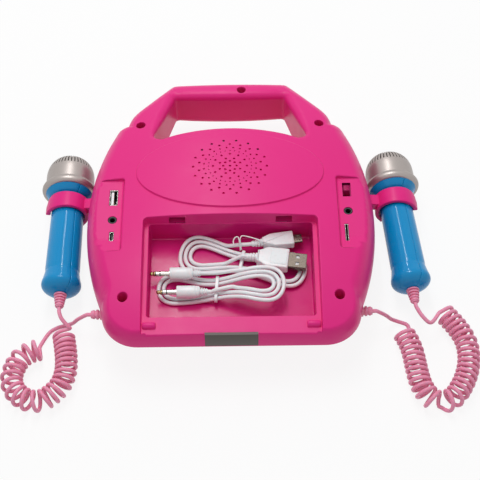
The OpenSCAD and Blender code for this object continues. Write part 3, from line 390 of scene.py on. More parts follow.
def place_piece(
    name: str, form: Shape | bpy.types.Mesh, finish: Finish | Sequence[Finish], body: Body | None,
    replaces: Sequence[str] = (), sharp_deg: float = 38.0,
) -> bpy.types.Object:
    """Puts a finished mesh into the scene as one piece.

    Args:
        name: the piece's name.
        form: its form, or its mesh in metres and in place.
        finish: its finish, or several in the order of the material indices.
        body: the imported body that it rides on, or None where it blends between two.
        replaces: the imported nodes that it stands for.
        sharp_deg: edges that turn by more than this are shaded sharp.

    Returns:
        The piece.
    """
    mesh = form.mesh(name) if isinstance(form, Shape) else form
    piece = bpy.data.objects.new(name, mesh)
    bpy.context.scene.collection.objects.link(piece)
    finishes = [finish] if isinstance(finish, Finish) else list(finish)
    for each in finishes:
        mesh.materials.append(each.build())
    mesh.polygons.foreach_set("use_smooth", [True] * len(mesh.polygons))
    mesh.set_sharp_from_angle(angle=math.radians(sharp_deg))
    if body is not None:
        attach(piece, body.value)
    if replaces:
        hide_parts(*replaces)
    log.info("made %s with %d faces", name, len(mesh.polygons))
    return piece


def bevelled(mesh: bpy.types.Mesh, width_mm: float, segments: int = 2) -> bpy.types.Mesh:
    """Rounds the sharp edges of a mesh.

    Args:
        mesh: the mesh, which is changed.
        width_mm: the width of the rounding.
        segments: the number of faces across it.

    Returns:
        The same mesh.
    """
    edit = bmesh.new()
    edit.from_mesh(mesh)
    sharp = [
        e for e in edit.edges if len(e.link_faces) == 2 and e.calc_face_angle(0.0) > math.radians(35)
    ]
    bmesh.ops.bevel(
        edit, geom=sharp, offset=width_mm * MM, offset_type="OFFSET", segments=segments, profile=0.5,
        affect="EDGES", clamp_overlap=True,
    )
    edit.to_mesh(mesh)
    edit.free()
    return mesh


def rounded_box(low: Sequence[float], high: Sequence[float], radius: float, segments: int = 3) -> Shape:
    """A box with rounded edges, between two corners.

    Args:
        low: the lowest corner.
        high: the highest corner.
        radius: the radius of its edges.
        segments: the number of faces across a rounding.

    Returns:
        The shape.
    """
    edit = bmesh.new()
    bmesh.ops.create_cube(edit, size=1.0)
    size = [h - l for l, h in zip(low, high)]
    middle = [(h + l) / 2 for l, h in zip(low, high)]
    bmesh.ops.scale(edit, vec=size, verts=edit.verts)
    bmesh.ops.translate(edit, vec=middle, verts=edit.verts)
    if radius > 0:
        bmesh.ops.bevel(
            edit, geom=list(edit.edges), offset=min(radius, min(size) * 0.49), segments=segments,
            profile=0.5, affect="EDGES", clamp_overlap=True,
        )
    edit.verts.index_update()
    shape = Shape([tuple(v.co) for v in edit.verts], [[v.index for v in f.verts] for f in edit.faces])
    edit.free()
    return shape


def rounded_rectangle(
    width: float, length: float, radius: float, steps: int = 6
) -> list[tuple[float, float]]:
    """Corner points of a rounded rectangle round the origin, anticlockwise.

    Args:
        width: its size along X.
        length: its size along Y.
        radius: the radius of its corners.
        steps: the number of steps round a corner.

    Returns:
        The points.
    """
    r = max(0.01, min(radius, width / 2 - 0.01, length / 2 - 0.01))
    points = []
    for k, (sx, sy) in enumerate(((1, 1), (-1, 1), (-1, -1), (1, -1))):
        for i in range(steps + 1):
            a = math.radians(90 * k + 90 * i / steps)
            points.append(
                (sx * (width / 2 - r) + r * math.cos(a), sy * (length / 2 - r) + r * math.sin(a))
            )
    return points


Vec = np.ndarray


def vec(*values: float) -> Vec:
    """A point or direction as an array."""
    return np.array(values, float)


def unit(v: Vec) -> Vec:
    """The direction of a vector."""
    return v / np.linalg.norm(v)


def smooth(
    points: Sequence[Vec], n: int, before: Vec | None = None, after: Vec | None = None
) -> list[Vec]:
    """A smooth curve through given points.

    Args:
        points: the points.
        n: steps to each span.
        before: the neighbour before the first point.
        after: the neighbour after the last point.

    Returns:
        The curve's points.
    """
    p = [np.asarray(q, float) for q in points]
    first = 2 * p[0] - p[1] if before is None else np.asarray(before, float)
    last = 2 * p[-1] - p[-2] if after is None else np.asarray(after, float)
    q = [first, *p, last]
    out = []
    for i in range(1, len(q) - 2):
        a, b, c, d = q[i - 1 : i + 3]
        for j in range(n):
            t = j / n
            out.append(
                0.5
                * (2 * b + (c - a) * t + (2 * a - 5 * b + 4 * c - d) * t * t
                   + (3 * b - a - 3 * c + d) * t**3)
            )
    out.append(p[-1])
    return out


def ease(t: float) -> float:
    """A smooth step from 0 to 1."""
    u = max(0.0, min(1.0, t))
    return u * u * (3 - 2 * u)


def sweep_tube(points: Sequence[Vec], radius: float, sides: int = 12) -> Shape:
    """Sweeps one unbroken round tube along a path, without twist.

    Args:
        points: the path.
        radius: the tube's radius.
        sides: the number of faces round it.

    Returns:
        The closed tube.
    """
    p = np.array(points, float)
    way = np.gradient(p, axis=0)
    way /= np.linalg.norm(way, axis=1)[:, None]
    side = np.cross(way[0], (0.0, 0.0, 1.0) if abs(way[0][2]) < 0.9 else (0.0, 1.0, 0.0))
    side /= np.linalg.norm(side)
    loops = []
    for i in range(len(p)):
        if i:
            side = side - way[i] * float(side @ way[i])
            side /= np.linalg.norm(side)
        up = np.cross(side, way[i])
        loops.append(
            [
                tuple(p[i] + radius * (math.cos(a) * side + math.sin(a) * up))
                for a in (2 * math.pi * k / sides for k in range(sides))
            ]
        )
    shape = Shape.lofted(loops, caps=True)
    return shape


@dataclass(frozen=True)
class Studio:
    """The camera of the photograph, a pale floor and plain soft light."""

    target: tuple[float, float, float] = (6.5, -39.5, 50.0)
    elevation_deg: float = 56.0
    distance: float = 800.0
    roll_deg: float = 0.75
    focal_px: float = 1136.0
    image_px: float = 480.0
    sensor: float = 36.0
    floor_size: float = 6000.0
    floor_shadow: float = 0.12
    world_strength: float = 0.42
    strip: tuple[float, float] = (30.0, 900.0)

    def camera(self) -> bpy.types.Object:
        """Sets the camera where the photographer's was.

        Returns:
            The camera.
        """
        data = bpy.data.cameras.new("photo_camera")
        data.sensor_width = self.sensor
        data.sensor_fit = "HORIZONTAL"
        data.lens = self.focal_px / self.image_px * self.sensor
        data.clip_start = 0.01
        data.clip_end = 50
        camera = bpy.data.objects.new("photo_camera", data)
        bpy.context.scene.collection.objects.link(camera)
        e = math.radians(self.elevation_deg)
        back = Vector((0.0, -math.cos(e), math.sin(e)))
        right = Vector((1.0, 0.0, 0.0))
        up = back.cross(right)
        r = math.radians(self.roll_deg)
        turned_right = math.cos(r) * right - math.sin(r) * up
        turned_up = math.cos(r) * up + math.sin(r) * right
        place = Matrix.Identity(4)
        for column, axis in enumerate((turned_right, turned_up, back)):
            for row in range(3):
                place[row][column] = axis[row]
        place.translation = (Vector(self.target) + back * self.distance) * MM
        camera.matrix_world = place
        bpy.context.scene.camera = camera
        return camera

    def lamp(
        self, name: str, at: Vec, size: float, watts: float, aim: Vec = vec(0, 0, 40)
    ) -> bpy.types.Object:
        """Adds a soft square lamp.

        Args:
            name: the lamp's name.
            at: its place.
            size: the length of its side.
            watts: its power.
            aim: the point it faces.

        Returns:
            The lamp.
        """
        data = bpy.data.lights.new(name, "AREA")
        data.shape = "SQUARE"
        data.size = size * MM
        data.energy = watts
        lamp = bpy.data.objects.new(name, data)
        bpy.context.scene.collection.objects.link(lamp)
        lamp.location = Vector(at) * MM
        lamp.rotation_euler = Vector(at - aim).to_track_quat("Z", "Y").to_euler()
        return lamp

    def light(self) -> None:
        """Sets an even white surround, a soft lamp overhead and a narrow strip lamp."""
        world = bpy.data.worlds.new("studio")
        bpy.context.scene.world = world
        world.use_nodes = True
        tree = world.node_tree
        tree.nodes.clear()
        seen = self._seen_directly(tree)
        strength = add_node(
            tree, "ShaderNodeMix", {0: seen, 2: self.world_strength, 3: 1.0}, data_type="FLOAT"
        )
        surround = add_node(
            tree, "ShaderNodeBackground",
            {"Color": (1.0, 1.0, 1.0, 1.0), "Strength": strength.outputs[0]},
        )
        add_node(tree, "ShaderNodeOutputWorld", {"Surface": surround.outputs["Background"]})
        self.lamp("overhead_lamp", vec(-150, 250, 1300), 600, 5.8)
        strip = self.lamp("strip_lamp", vec(-100, 640, 1000), 1, 3.0, vec(-100, 0, 40))
        strip.data.shape = "RECTANGLE"
        strip.data.size, strip.data.size_y = (side * MM for side in self.strip)
        scene = bpy.context.scene
        scene.view_settings.view_transform = "Standard"

    def _seen_directly(self, tree: bpy.types.NodeTree) -> bpy.types.NodeSocket:
        """Tells camera, glossy and transmission rays from the rays that light the object.

        Args:
            tree: the tree that gets the nodes.

        Returns:
            A socket that is 1 for those rays and 0 for the rest.
        """
        rays = add_node(tree, "ShaderNodeLightPath")
        camera_or_gloss = add_node(
            tree, "ShaderNodeMath",
            {0: rays.outputs["Is Camera Ray"], 1: rays.outputs["Is Glossy Ray"]}, operation="MAXIMUM",
        )
        seen = add_node(
            tree, "ShaderNodeMath",
            {0: camera_or_gloss.outputs[0], 1: rays.outputs["Is Transmission Ray"]},
            operation="MAXIMUM",
        )
        return seen.outputs[0]

    def floor(self) -> bpy.types.Object:
        """Lays the pale floor, which shows white and keeps a faint shadow.

        Returns:
            The floor.
        """
        half = self.floor_size / 2
        sheet = Shape()
        sheet.add(
            [(-half, -half, 0), (half, -half, 0), (half, half, 0), (-half, half, 0)], [(0, 1, 2, 3)]
        )
        floor = bpy.data.objects.new("floor", sheet.mesh("floor"))
        bpy.context.scene.collection.objects.link(floor)
        material = bpy.data.materials.new("white_paper_floor")
        material.use_nodes = True
        tree = material.node_tree
        tree.nodes.clear()
        white = (1.0, 1.0, 1.0, 1.0)
        paper = add_node(tree, "ShaderNodeBsdfDiffuse", {"Color": (0.94, 0.94, 0.94, 1.0)})
        bright = add_node(tree, "ShaderNodeEmission", {"Color": white, "Strength": 1.0})
        shown = add_node(
            tree, "ShaderNodeMixShader",
            {0: self.floor_shadow, 1: bright.outputs[0], 2: paper.outputs[0]},
        )
        surface = add_node(
            tree, "ShaderNodeMixShader",
            {0: self._seen_directly(tree), 1: paper.outputs[0], 2: shown.outputs[0]},
        )
        add_node(tree, "ShaderNodeOutputMaterial", {"Surface": surface.outputs[0]})
        floor.data.materials.append(material)
        return floor


CORD_PINK = Finish(
    "soft_pvc_cord_pink", "cord_pink", "#f19cba", roughness=0.42, specular=0.35, grain_mm=1.2,
    grain_strength=0.2, colour_drift=0.05, drift_mm=14, soft_depth_mm=1.2,
)
CABLE_WHITE = Finish(
    "soft_pvc_cable_white", "white_cable", "#eeeef1", roughness=0.33, grain_mm=1.0,
    grain_strength=0.15, colour_drift=0.02, drift_mm=12, soft_depth_mm=0.8,
)
PLUG_WHITE = Finish(
    "moulded_pvc_plug_white", "white_plastic", "#f1f1f3", roughness=0.3, grain_mm=0.5,
    grain_strength=0.12, colour_drift=0.02, drift_mm=10, soft_depth_mm=0.8,
)
NICKEL = Finish(
    "nickel_plated_steel", "steel", "#b9b7b2", roughness=0.24, metallic=1.0, ior=1.5,
    grain_mm=0.35, grain_strength=0.2, colour_drift=0.05, drift_mm=6, scratch_mm=0.12,
)
# Nickel of the plug sheaths, darkened to paint the dark surroundings that the metal reflects.
NICKEL_PAINTED_DARK = Finish(
    "nickel_sheath_handled", "steel", "#6a6159", roughness=0.3, metallic=1.0, ior=1.5,
    grain_mm=0.35, grain_strength=0.25, colour_drift=0.08, drift_mm=5, scratch_mm=0.12,
)
GOLD = Finish(
    "gold_plated_brass", "steel", "#a8946a", roughness=0.24, metallic=1.0, ior=1.5,
    grain_mm=0.4, grain_strength=0.1, drift_mm=6,
)
BLACK = Finish(
    "moulded_abs_black", "black_plastic", "#1b1b1d", roughness=0.45, grain_mm=0.4,
    grain_strength=0.3, colour_drift=0.1, drift_mm=10,
)
# Pink of the slide switch, darker than the body: painted shade of its sunk window.
SWITCH_PINK_SHADED = Finish(
    "moulded_abs_deep_pink", "pink_shell", "#c4206f", roughness=0.38, specular=0.3, grain_mm=0.5,
    grain_strength=0.15, colour_drift=0.03, drift_mm=8,
)
FOAM = Finish(
    "open_cell_foam_black", "black_plastic", "#161617", roughness=0.95, grain_mm=0.9,
    grain_depth_mm=0.3, grain_strength=0.9, roughness_drift=0.02, colour_drift=0.25, drift_mm=3,
)
PINK = Finish(
    "moulded_abs_pink", "pink_shell", "#e82a86", roughness=0.36, specular=0.25, grain_mm=0.7,
    grain_depth_mm=0.012, grain_strength=0.22, roughness_drift=0.04, colour_drift=0.025, drift_mm=70,
)
# Glossier pink of the tray, darker than the body: the darker colour is painted shade of the sunk tray.
TRAY_PINK_SHADED = Finish(
    "polished_abs_pink", "pink_shell", "#d41c78", roughness=0.22, specular=0.3, grain_mm=1.6,
    grain_depth_mm=0.01, grain_strength=0.15, roughness_drift=0.05, colour_drift=0.03, drift_mm=40,
)
BLUE = Finish(
    "moulded_abs_blue", "mic_blue", "#0092d0", roughness=0.12, specular=0.32, grain_mm=1.4,
    grain_depth_mm=0.008, grain_strength=0.15, roughness_drift=0.04, colour_drift=0.03, drift_mm=24,
)
SILVER = Finish(
    "vacuum_metallised_satin_silver", "head_silver", "#aaa29e", roughness=0.4, metallic=0.8,
    grain_mm=0.5, grain_depth_mm=0.006, grain_strength=0.1, roughness_drift=0.03,
    colour_drift=0.03, drift_mm=14,
)


LABEL = Finish(
    "printed_film_dark", "label_film", "#4d4640", roughness=0.38, grain_mm=0.5,
    grain_strength=0.08, colour_drift=0.06, drift_mm=5,
)
LABEL_BAND = Finish(
    "printed_film_grey", "label_film", "#8d8682", roughness=0.38, grain_mm=0.5,
    grain_strength=0.08, colour_drift=0.05, drift_mm=5,
)


def route(points: Sequence[tuple[float, ...]], height: float | None = None) -> list[Vec]:
    """A list of given points as arrays."""
    return [vec(*p) if height is None else vec(p[0], p[1], height) for p in points]


def leave_straight(
    a: Vec, u: Vec, middle: Sequence[Vec], b: Vec, v: Vec, n: int, reach: float
) -> list[Vec]:
    """A cord between two points that leaves both of them straight."""
    a1 = a + reach * unit(u)
    b1 = b + reach * unit(v)
    return [a, *smooth([a1, *middle, b1], n, a, b), b]


@dataclass
class MicrophoneCord:
    """A curly cord with a straight lead at each end, from the casing to a microphone."""

    side: Side
    coil_route: Sequence[tuple[float, float]]
    curls: float
    start_deg: float
    hand: int
    casing_route: Sequence[tuple[float, float, float]]
    mic_route: Sequence[tuple[float, float, float]]
    casing_end_first: bool
    diameter: float = 2.8
    curl_r: float = 6.7
    steps_per_curl: int = 26
    lead_steps: int = 9
    sides: int = 12
    grommet_y: float = -83.5
    grommet_z: float = 24.0
    casing_exit: float = 98.68
    mic_x: float = 122.5
    mic_shift: float = 0.619
    clip_mid_y: float = 8.5
    mic_z: float = 22.0
    mic_exit: float = -84.5
    right_tilt: float = 4.5
    stretch_share: float = 0.3
    coil_lift: float = 0.3

    @property
    def coil_z(self) -> float:
        """Height of the curls' axis above the floor."""
        return self.curl_r + self.diameter / 2 + self.coil_lift

    def mic_end(self) -> tuple[Vec, Vec]:
        """Where the cord meets the microphone's strain relief.

        Returns:
            The point and the direction in which the cord leaves it.
        """
        a = math.radians(self.right_tilt) if self.side is Side.RIGHT else 0.0
        along = vec(-math.sin(a), math.cos(a), 0)
        start = vec(self.side.value * self.mic_x + self.mic_shift, self.clip_mid_y, self.mic_z)
        return start + along * self.mic_exit, -along

    def casing_end(self) -> tuple[Vec, Vec]:
        """Where the cord meets the casing's strain relief."""
        s = self.side.value
        return vec(s * self.casing_exit, self.grommet_y, self.grommet_z), vec(s, 0, 0)

    def curl_points(self, marks: Sequence[float]) -> list[Vec]:
        """Points along the curls, which lie closer together on the inside of a bend.

        Args:
            marks: where along the coil, from 0 to 1.

        Returns:
            The points.
        """
        p = np.array(smooth(route(self.coil_route, self.coil_z), 6))
        steps = np.linalg.norm(np.diff(p, axis=0), axis=1)
        s = np.concatenate([[0], np.cumsum(steps)])
        last = len(p) - 1

        def way(i: int) -> Vec:
            """The direction of the axis at a point."""
            return unit(p[min(i + 1, last)] - p[max(i - 1, 0)])

        def bend(i: int) -> float:
            """The curvature of the axis at a point."""
            low, high = max(i - 1, 0), min(i + 1, last)
            return float(np.linalg.norm(way(high) - way(low)) / np.linalg.norm(p[high] - p[low]))

        inner = [steps[i] * (1 - self.curl_r * 1.02 * bend(i)) for i in range(len(steps))]
        si = np.concatenate([[0], np.cumsum(inner)])
        out = []
        for f in marks:
            q = float(np.interp(si[-1] * f, si, s))
            c, low, high = (
                np.array([np.interp(min(max(q + d, 0), s[-1]), s, p[:, k]) for k in range(3)])
                for d in (0.0, -0.5, 0.5)
            )
            t = unit(high - low)
            a = math.radians(self.start_deg + self.hand * 360 * self.curls * f)
            out.append(c + self.curl_r * (math.cos(a) * vec(-t[1], t[0], 0) + vec(0, 0, math.sin(a))))
        return out

    def path(self) -> tuple[list[Vec], int]:
        """The whole centreline, from the casing to the microphone.

        Returns:
            The points and the number of points before the microphone's own lead.
        """
        tiny = 0.0004
        count = round(self.curls * self.steps_per_curl)
        core = self.curl_points([j / count for j in range(count + 1)])
        head = unit(np.subtract(*self.curl_points([0, tiny])))
        tail = unit(np.subtract(*self.curl_points([1, 1 - tiny])))
        coil = [core[0] + self.diameter * head, *core, core[-1] + self.diameter * tail]
        ways = (head, tail)
        if not self.casing_end_first:
            coil.reverse()
            ways = (tail, head)
        start, start_way = self.casing_end()
        end, end_way = self.mic_end()
        n = self.lead_steps
        first = leave_straight(
            start, start_way, route(self.casing_route), coil[0], ways[0], n, self.diameter
        )
        final = leave_straight(end, end_way, route(self.mic_route), coil[-1], ways[1], n, self.diameter)
        final.reverse()
        points = first[:-1] + coil + final[1:]
        return points, len(first) + len(coil)

    def build(self) -> bpy.types.Object:
        """Makes the cord, whose last curls stretch when its microphone is drawn out.

        Returns:
            The cord.
        """
        points, lead_from = self.path()
        word = self.side.word
        shape = sweep_tube(points, self.diameter / 2, self.sides)
        cord = place_piece(
            f"curly_cord_{word}", shape.mesh(f"curly_cord_{word}", 0.0005), CORD_PINK, None,
            (f"casing_lead_{word}", f"cord_coil_{word}", f"mic_lead_{word}"),
        )
        end, way = self.mic_end()
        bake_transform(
            cord, Body.CASING.value, f"microphone_{word}",
            start=tuple((end + 30 * way) * MM), end=tuple(end * MM),
        )
        self._stretch_along(cord, points, lead_from)
        return cord

    def _stretch_along(self, cord: bpy.types.Object, points: Sequence[Vec], lead_from: int) -> None:
        """Spreads the stretch over the last curls, as a curly cord gives way.

        Args:
            cord: the cord, whose rings follow the points in order.
            points: its centreline.
            lead_from: the first point of the microphone's own lead.
        """
        share = np.zeros(len(points))
        first = int(lead_from * (1 - self.stretch_share))
        span = len(points) - 2 - first
        for i in range(first, len(points)):
            share[i] = min(1.0, (i - first) / span)
        places = np.array(points) * MM
        attribute = cord.data.attributes["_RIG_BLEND"]
        weights = np.zeros(len(cord.data.vertices), np.float32)
        tree = KDTree(len(places))
        for i, q in enumerate(places):
            tree.insert(q, i)
        tree.balance()
        for v in cord.data.vertices:
            weights[v.index] = share[tree.find(v.co)[1]]
        attribute.data.foreach_set("value", weights)


LEFT_CORD = MicrophoneCord(
    side=Side.LEFT,
    coil_route=(
        (-119.5, -91), (-117.5, -101), (-116, -111.5), (-116, -121), (-118.5, -130),
        (-124, -137), (-130.5, -141.5), (-138, -142), (-145.5, -138.5), (-151, -132),
        (-153, -124), (-151.5, -116), (-148, -109), (-142, -104.5), (-136, -102.5),
    ),
    curls=24.5,
    start_deg=90,
    hand=1,
    casing_route=(
        (-109, -82.5, 16), (-114, -80.5, 7), (-119.5, -80, 3), (-126, -81.5, 1.9), (-131.5, -86, 1.9)
    ),
    mic_route=((-120, -84, 20.5), (-115.5, -88.5, 17)),
    casing_end_first=False,
)
RIGHT_CORD = MicrophoneCord(
    side=Side.RIGHT,
    coil_route=(
        (121.5, -93), (124.5, -100), (126.5, -108), (127.5, -117), (128.5, -126), (130.5, -135),
        (135, -143), (142.5, -147), (151, -143.5), (157, -136), (161.5, -127.5), (164.5, -118),
        (165.5, -108.5), (164.5, -99.5), (161, -91), (156.5, -83.5), (152, -77.5),
    ),
    curls=30.5,
    start_deg=270,
    hand=-1,
    casing_route=((109, -82.5, 16), (114, -80.5, 7), (119.5, -80.5, 3.2), (126, -83, 1.9)),
    mic_route=((134, -86, 20.5), (140, -90, 18)),
    casing_end_first=True,
)


@dataclass
class Hank:
    """A spare cable wound into a hank that is drawn in at its tie."""

    half_length: float
    half_height: float
    bulge: float
    slant_deg: float
    middle: tuple[float, float]
    first_deg: float
    hand: int
    low: float
    rise: float
    loop_step: float = 3.5
    sweep_deg: float = 860.0
    steps_per_turn: int = 24
    foot_x: float = -24.0
    crest_x: float = 15.0

    def path(self) -> list[Vec]:
        """The loops' centreline.

        Returns:
            The points.
        """
        count = round(self.sweep_deg * self.steps_per_turn / 360)
        out = []
        tilt = math.radians(self.slant_deg)
        for i in range(count + 1):
            swept = self.sweep_deg * i / count
            turns = swept / 360
            a = math.radians(self.first_deg + self.hand * swept)
            x = (self.half_length - self.loop_step * turns) * math.cos(a)
            y = math.sin(a) * (
                self.half_height - self.loop_step * turns
                + (self.bulge - self.loop_step * turns) * math.cos(a) ** 2
            )
            px = x * math.cos(tilt) - y * math.sin(tilt) + self.middle[0]
            py = x * math.sin(tilt) + y * math.cos(tilt) + self.middle[1]
            z = self.low + self.rise * ease((px - self.foot_x) / (self.crest_x - self.foot_x))
            out.append(vec(px, py, z))
        return out


@dataclass
class Edge:
    """A closed edge in plan, anticlockwise, across which a moulded face steps down."""

    points: Vec
    measure: Callable[[Vec], Vec] | None = None
    reach: float = 4.0

    @classmethod
    def circle(cls, x: float, y: float, radius: float, steps: int = 20) -> "Edge":
        """A round edge.

        Args:
            x: its middle.
            y: its middle.
            radius: its radius.
            steps: the number of its points.

        Returns:
            The edge.
        """
        a = np.linspace(0, 2 * math.pi, steps, endpoint=False)
        return cls(
            np.stack([x + radius * np.cos(a), y + radius * np.sin(a)], axis=1),
            lambda p: np.hypot(p[:, 0] - x, p[:, 1] - y) - radius,
        )

    @classmethod
    def box(
        cls, x: float, y: float, width: float, length: float, radius: float, spacing: float = 1.2
    ) -> "Edge":
        """A rectangle with rounded corners.

        Args:
            x: its middle.
            y: its middle.
            width: its size along X.
            length: its size along Y.
            radius: the radius of its corners.
            spacing: the distance between its points.

        Returns:
            The edge.
        """
        corners = np.array(rounded_rectangle(width, length, radius, 5)) + (x, y)

        def measure(p: Vec) -> Vec:
            """The distance from the rounded rectangle."""
            q = np.abs(p - (x, y)) - (width / 2 - radius, length / 2 - radius)
            outside = np.linalg.norm(np.maximum(q, 0), axis=1)
            return outside + np.minimum(q.max(axis=1), 0) - radius

        return cls(spread_loop(corners, spacing), measure)

    def offset(self, distance: float) -> Vec:
        """The same edge moved outwards."""
        along = np.roll(self.points, -1, axis=0) - np.roll(self.points, 1, axis=0)
        along /= np.linalg.norm(along, axis=1)[:, None]
        return self.points + distance * np.stack([along[:, 1], -along[:, 0]], axis=1)

    def distance(self, p: Vec) -> Vec:
        """How far points lie from the edge, negative inside it.

        Args:
            p: the points in plan.

        Returns:
            The signed distances.
        """
        if self.measure is not None:
            return self.measure(p)
        low, high = self.points.min(axis=0) - self.reach, self.points.max(axis=0) + self.reach
        out = np.full(len(p), 1e3)
        near = np.flatnonzero(((p > low) & (p < high)).all(axis=1))
        a = self.points
        b = np.roll(a, -1, axis=0)
        span = b - a
        square = (span**2).sum(axis=1)
        for first in range(0, len(near), 4000):
            part = near[first : first + 4000]
            q = p[part, None, :]
            t = np.clip(((q - a) * span).sum(axis=2) / square, 0, 1)
            gap = np.sqrt((((a + t[:, :, None] * span) - q) ** 2).sum(axis=2).min(axis=1))
            crosses = (a[:, 1] > q[:, :, 1]) != (b[:, 1] > q[:, :, 1])
            rise = np.where(span[:, 1] == 0, 1e-12, span[:, 1])
            cut = a[:, 0] + (q[:, :, 1] - a[:, 1]) / rise * span[:, 0]
            inside = (crosses & (q[:, :, 0] < cut)).sum(axis=1) % 2 == 1
            out[part] = np.where(inside, -gap, gap)
        return out


def spread_loop(points: Vec, spacing: float) -> Vec:
    """Adds points to a closed loop until none of its sides is longer than a spacing.

    Args:
        points: the loop.
        spacing: the longest side.

    Returns:
        The denser loop.
    """
    out = []
    for a, b in zip(points, np.roll(points, -1, axis=0)):
        n = max(1, math.ceil(np.linalg.norm(b - a) / spacing))
        out += [a + (b - a) * k / n for k in range(n)]
    return np.array(out)


@dataclass
class Step:
    """A drop of a moulded face inside an edge, rounded at its top and at its foot."""

    edge: Edge
    floor: Callable[[Vec], Vec] | None
    top_radius: float = 0.5
    foot_radius: float = 0.4
    draft: float = 0.12
    swell: Callable[[Vec], Vec] | None = None

    @property
    def through(self) -> bool:
        """Whether the face ends at the edge."""
        return self.floor is None

    def offsets(self) -> list[float]:
        """Distances from the edge at which the face bends.

        Returns:
            The distances, outermost first.
        """
        out = [self.top_radius * (1 - u) for u in (0.0, 0.4, 0.7, 0.9, 1.0)]
        if not self.through:
            out += [-self.draft - self.foot_radius * (1 - v) for v in (1.0, 0.85, 0.55, 0.0)]
        return out

    def apply(self, p: Vec, z: Vec) -> Vec:
        """Lowers the heights of a face inside the edge.

        Args:
            p: the points in plan.
            z: their heights.

        Returns:
            The new heights.
        """
        low = self.edge.points.min(axis=0) - self.top_radius - 0.1
        high = self.edge.points.max(axis=0) + self.top_radius + 0.1
        near = ((p > low) & (p < high)).all(axis=1)
        if not near.any():
            return z
        q, old = p[near], z[near]
        s = self.edge.distance(q)
        floor = old - 2 * self.top_radius if self.through else self.floor(q)
        drop = np.maximum(old - floor, 0)
        wide = self.top_radius if self.swell is None else self.swell(q)
        r = np.maximum(np.minimum(wide, drop * 0.5), 1e-6)
        f = np.maximum(np.minimum(self.foot_radius, drop * 0.5), 1e-6)
        u = np.clip(1 - s / r, 0, 1)
        v = np.clip((s + self.draft + f) / f, 0, 1)
        over = old - r * (1 - np.sqrt(1 - u * u))
        foot = old - drop + f * (1 - np.sqrt(1 - v * v))
        t = np.clip(-s / self.draft, 0, 1)
        wall = (old - r) * (1 - t) + (old - drop + f) * t
        new = np.where(s >= 0, over, np.where(s > -self.draft, wall, foot))
        out = z.copy()
        out[near] = new
        return out


@dataclass
class ReliefFace:
    """A moulded face with steps, holes and creases in it.

    Heights are counted towards the viewer: up where it faces up, down where it faces down.
    """

    base: Callable[[Vec], Vec]
    rings: list[Vec]
    outline: Edge
    steps: list[Step]
    creases: list[Vec] = field(default_factory=list)
    facing: int = 1
    spacing: float = 2.6
    merge: float = 0.02

    def height(self, p: Vec) -> Vec:
        """The height of the face.

        Args:
            p: the points in plan.

        Returns:
            The heights.
        """
        z = self.base(p)
        for step in self.steps:
            z = step.apply(p, z)
        return z

    def _constraints(self) -> tuple[list[Vec], list[tuple[int, int]]]:
        """Collects the loops that the triangles have to follow.

        Returns:
            The points and the edges between them.
        """
        points: list[Vec] = []
        edges: list[tuple[int, int]] = []
        loops = [*self.rings, *self.creases]
        loops += [s.edge.offset(d) for s in self.steps for d in s.offsets()]
        for loop in loops:
            first = len(points)
            n = len(loop)
            points += list(loop)
            edges += [(first + i, first + (i + 1) % n) for i in range(n)]
        return points, edges

    def _filling(self, fixed: Sequence[Vec]) -> list[Vec]:
        """Spreads points between the loops.

        Args:
            fixed: the points of the loops.

        Returns:
            The points between them, on a honeycomb.
        """
        tree = KDTree(len(fixed))
        for i, q in enumerate(fixed):
            tree.insert((q[0], q[1], 0), i)
        tree.balance()
        low, high = self.outline.points.min(axis=0), self.outline.points.max(axis=0)
        rows = int((high[1] - low[1]) / (self.spacing * 0.866))
        columns = int((high[0] - low[0]) / self.spacing)
        grid = np.array(
            [
                (low[0] + (i + 0.5 * (j % 2)) * self.spacing, low[1] + j * self.spacing * 0.866)
                for j in range(rows + 1)
                for i in range(columns + 1)
            ]
        )
        grid = grid[self.outline.distance(grid) < -self.spacing * 0.3]
        return [g for g in grid if tree.find((g[0], g[1], 0))[2] > self.spacing * 0.45]

    def mesh(self, name: str) -> bpy.types.Mesh:
        """Triangulates the face and works out its exact normals.

        Args:
            name: the mesh's name.

        Returns:
            The mesh, in metres.
        """
        fixed, edges = self._constraints()
        points = fixed + self._filling(fixed)
        plan, _, faces, *_ = delaunay_2d_cdt(
            [Vector((float(q[0]), float(q[1]))) for q in points], edges, [], 0, self.merge
        )
        p = np.array([(v.x, v.y) for v in plan])
        triangles = np.array(faces)
        middle = p[triangles].mean(axis=1)
        keep = self.outline.distance(middle) < 0
        for step in self.steps:
            if step.through:
                keep &= step.edge.distance(middle) > 0
        triangles = triangles[keep]
        z = self.facing * self.height(p)
        if self.facing < 0:
            triangles = triangles[:, ::-1]
        used, compact = np.unique(triangles, return_inverse=True)
        triangles = compact.reshape(triangles.shape)
        p, z = p[used], z[used]
        mesh = bpy.data.meshes.new(name)
        mesh.from_pydata((np.column_stack([p, z]) * MM).tolist(), [], triangles.tolist())
        self.normals = self._normals(p)
        return mesh

    def _normals(self, p: Vec, reach: float = 0.01) -> Vec:
        """The face's normals from its slope.

        Args:
            p: the points in plan.
            reach: how far to each side the slope is measured.

        Returns:
            The unit normals.
        """
        dx, dy = np.array([reach, 0.0]), np.array([0.0, reach])
        gx = (self.height(p + dx) - self.height(p - dx)) / (2 * reach)
        gy = (self.height(p + dy) - self.height(p - dy)) / (2 * reach)
        n = np.column_stack([-gx, -gy, np.full(len(p), self.facing)])
        return n / np.linalg.norm(n, axis=1)[:, None]


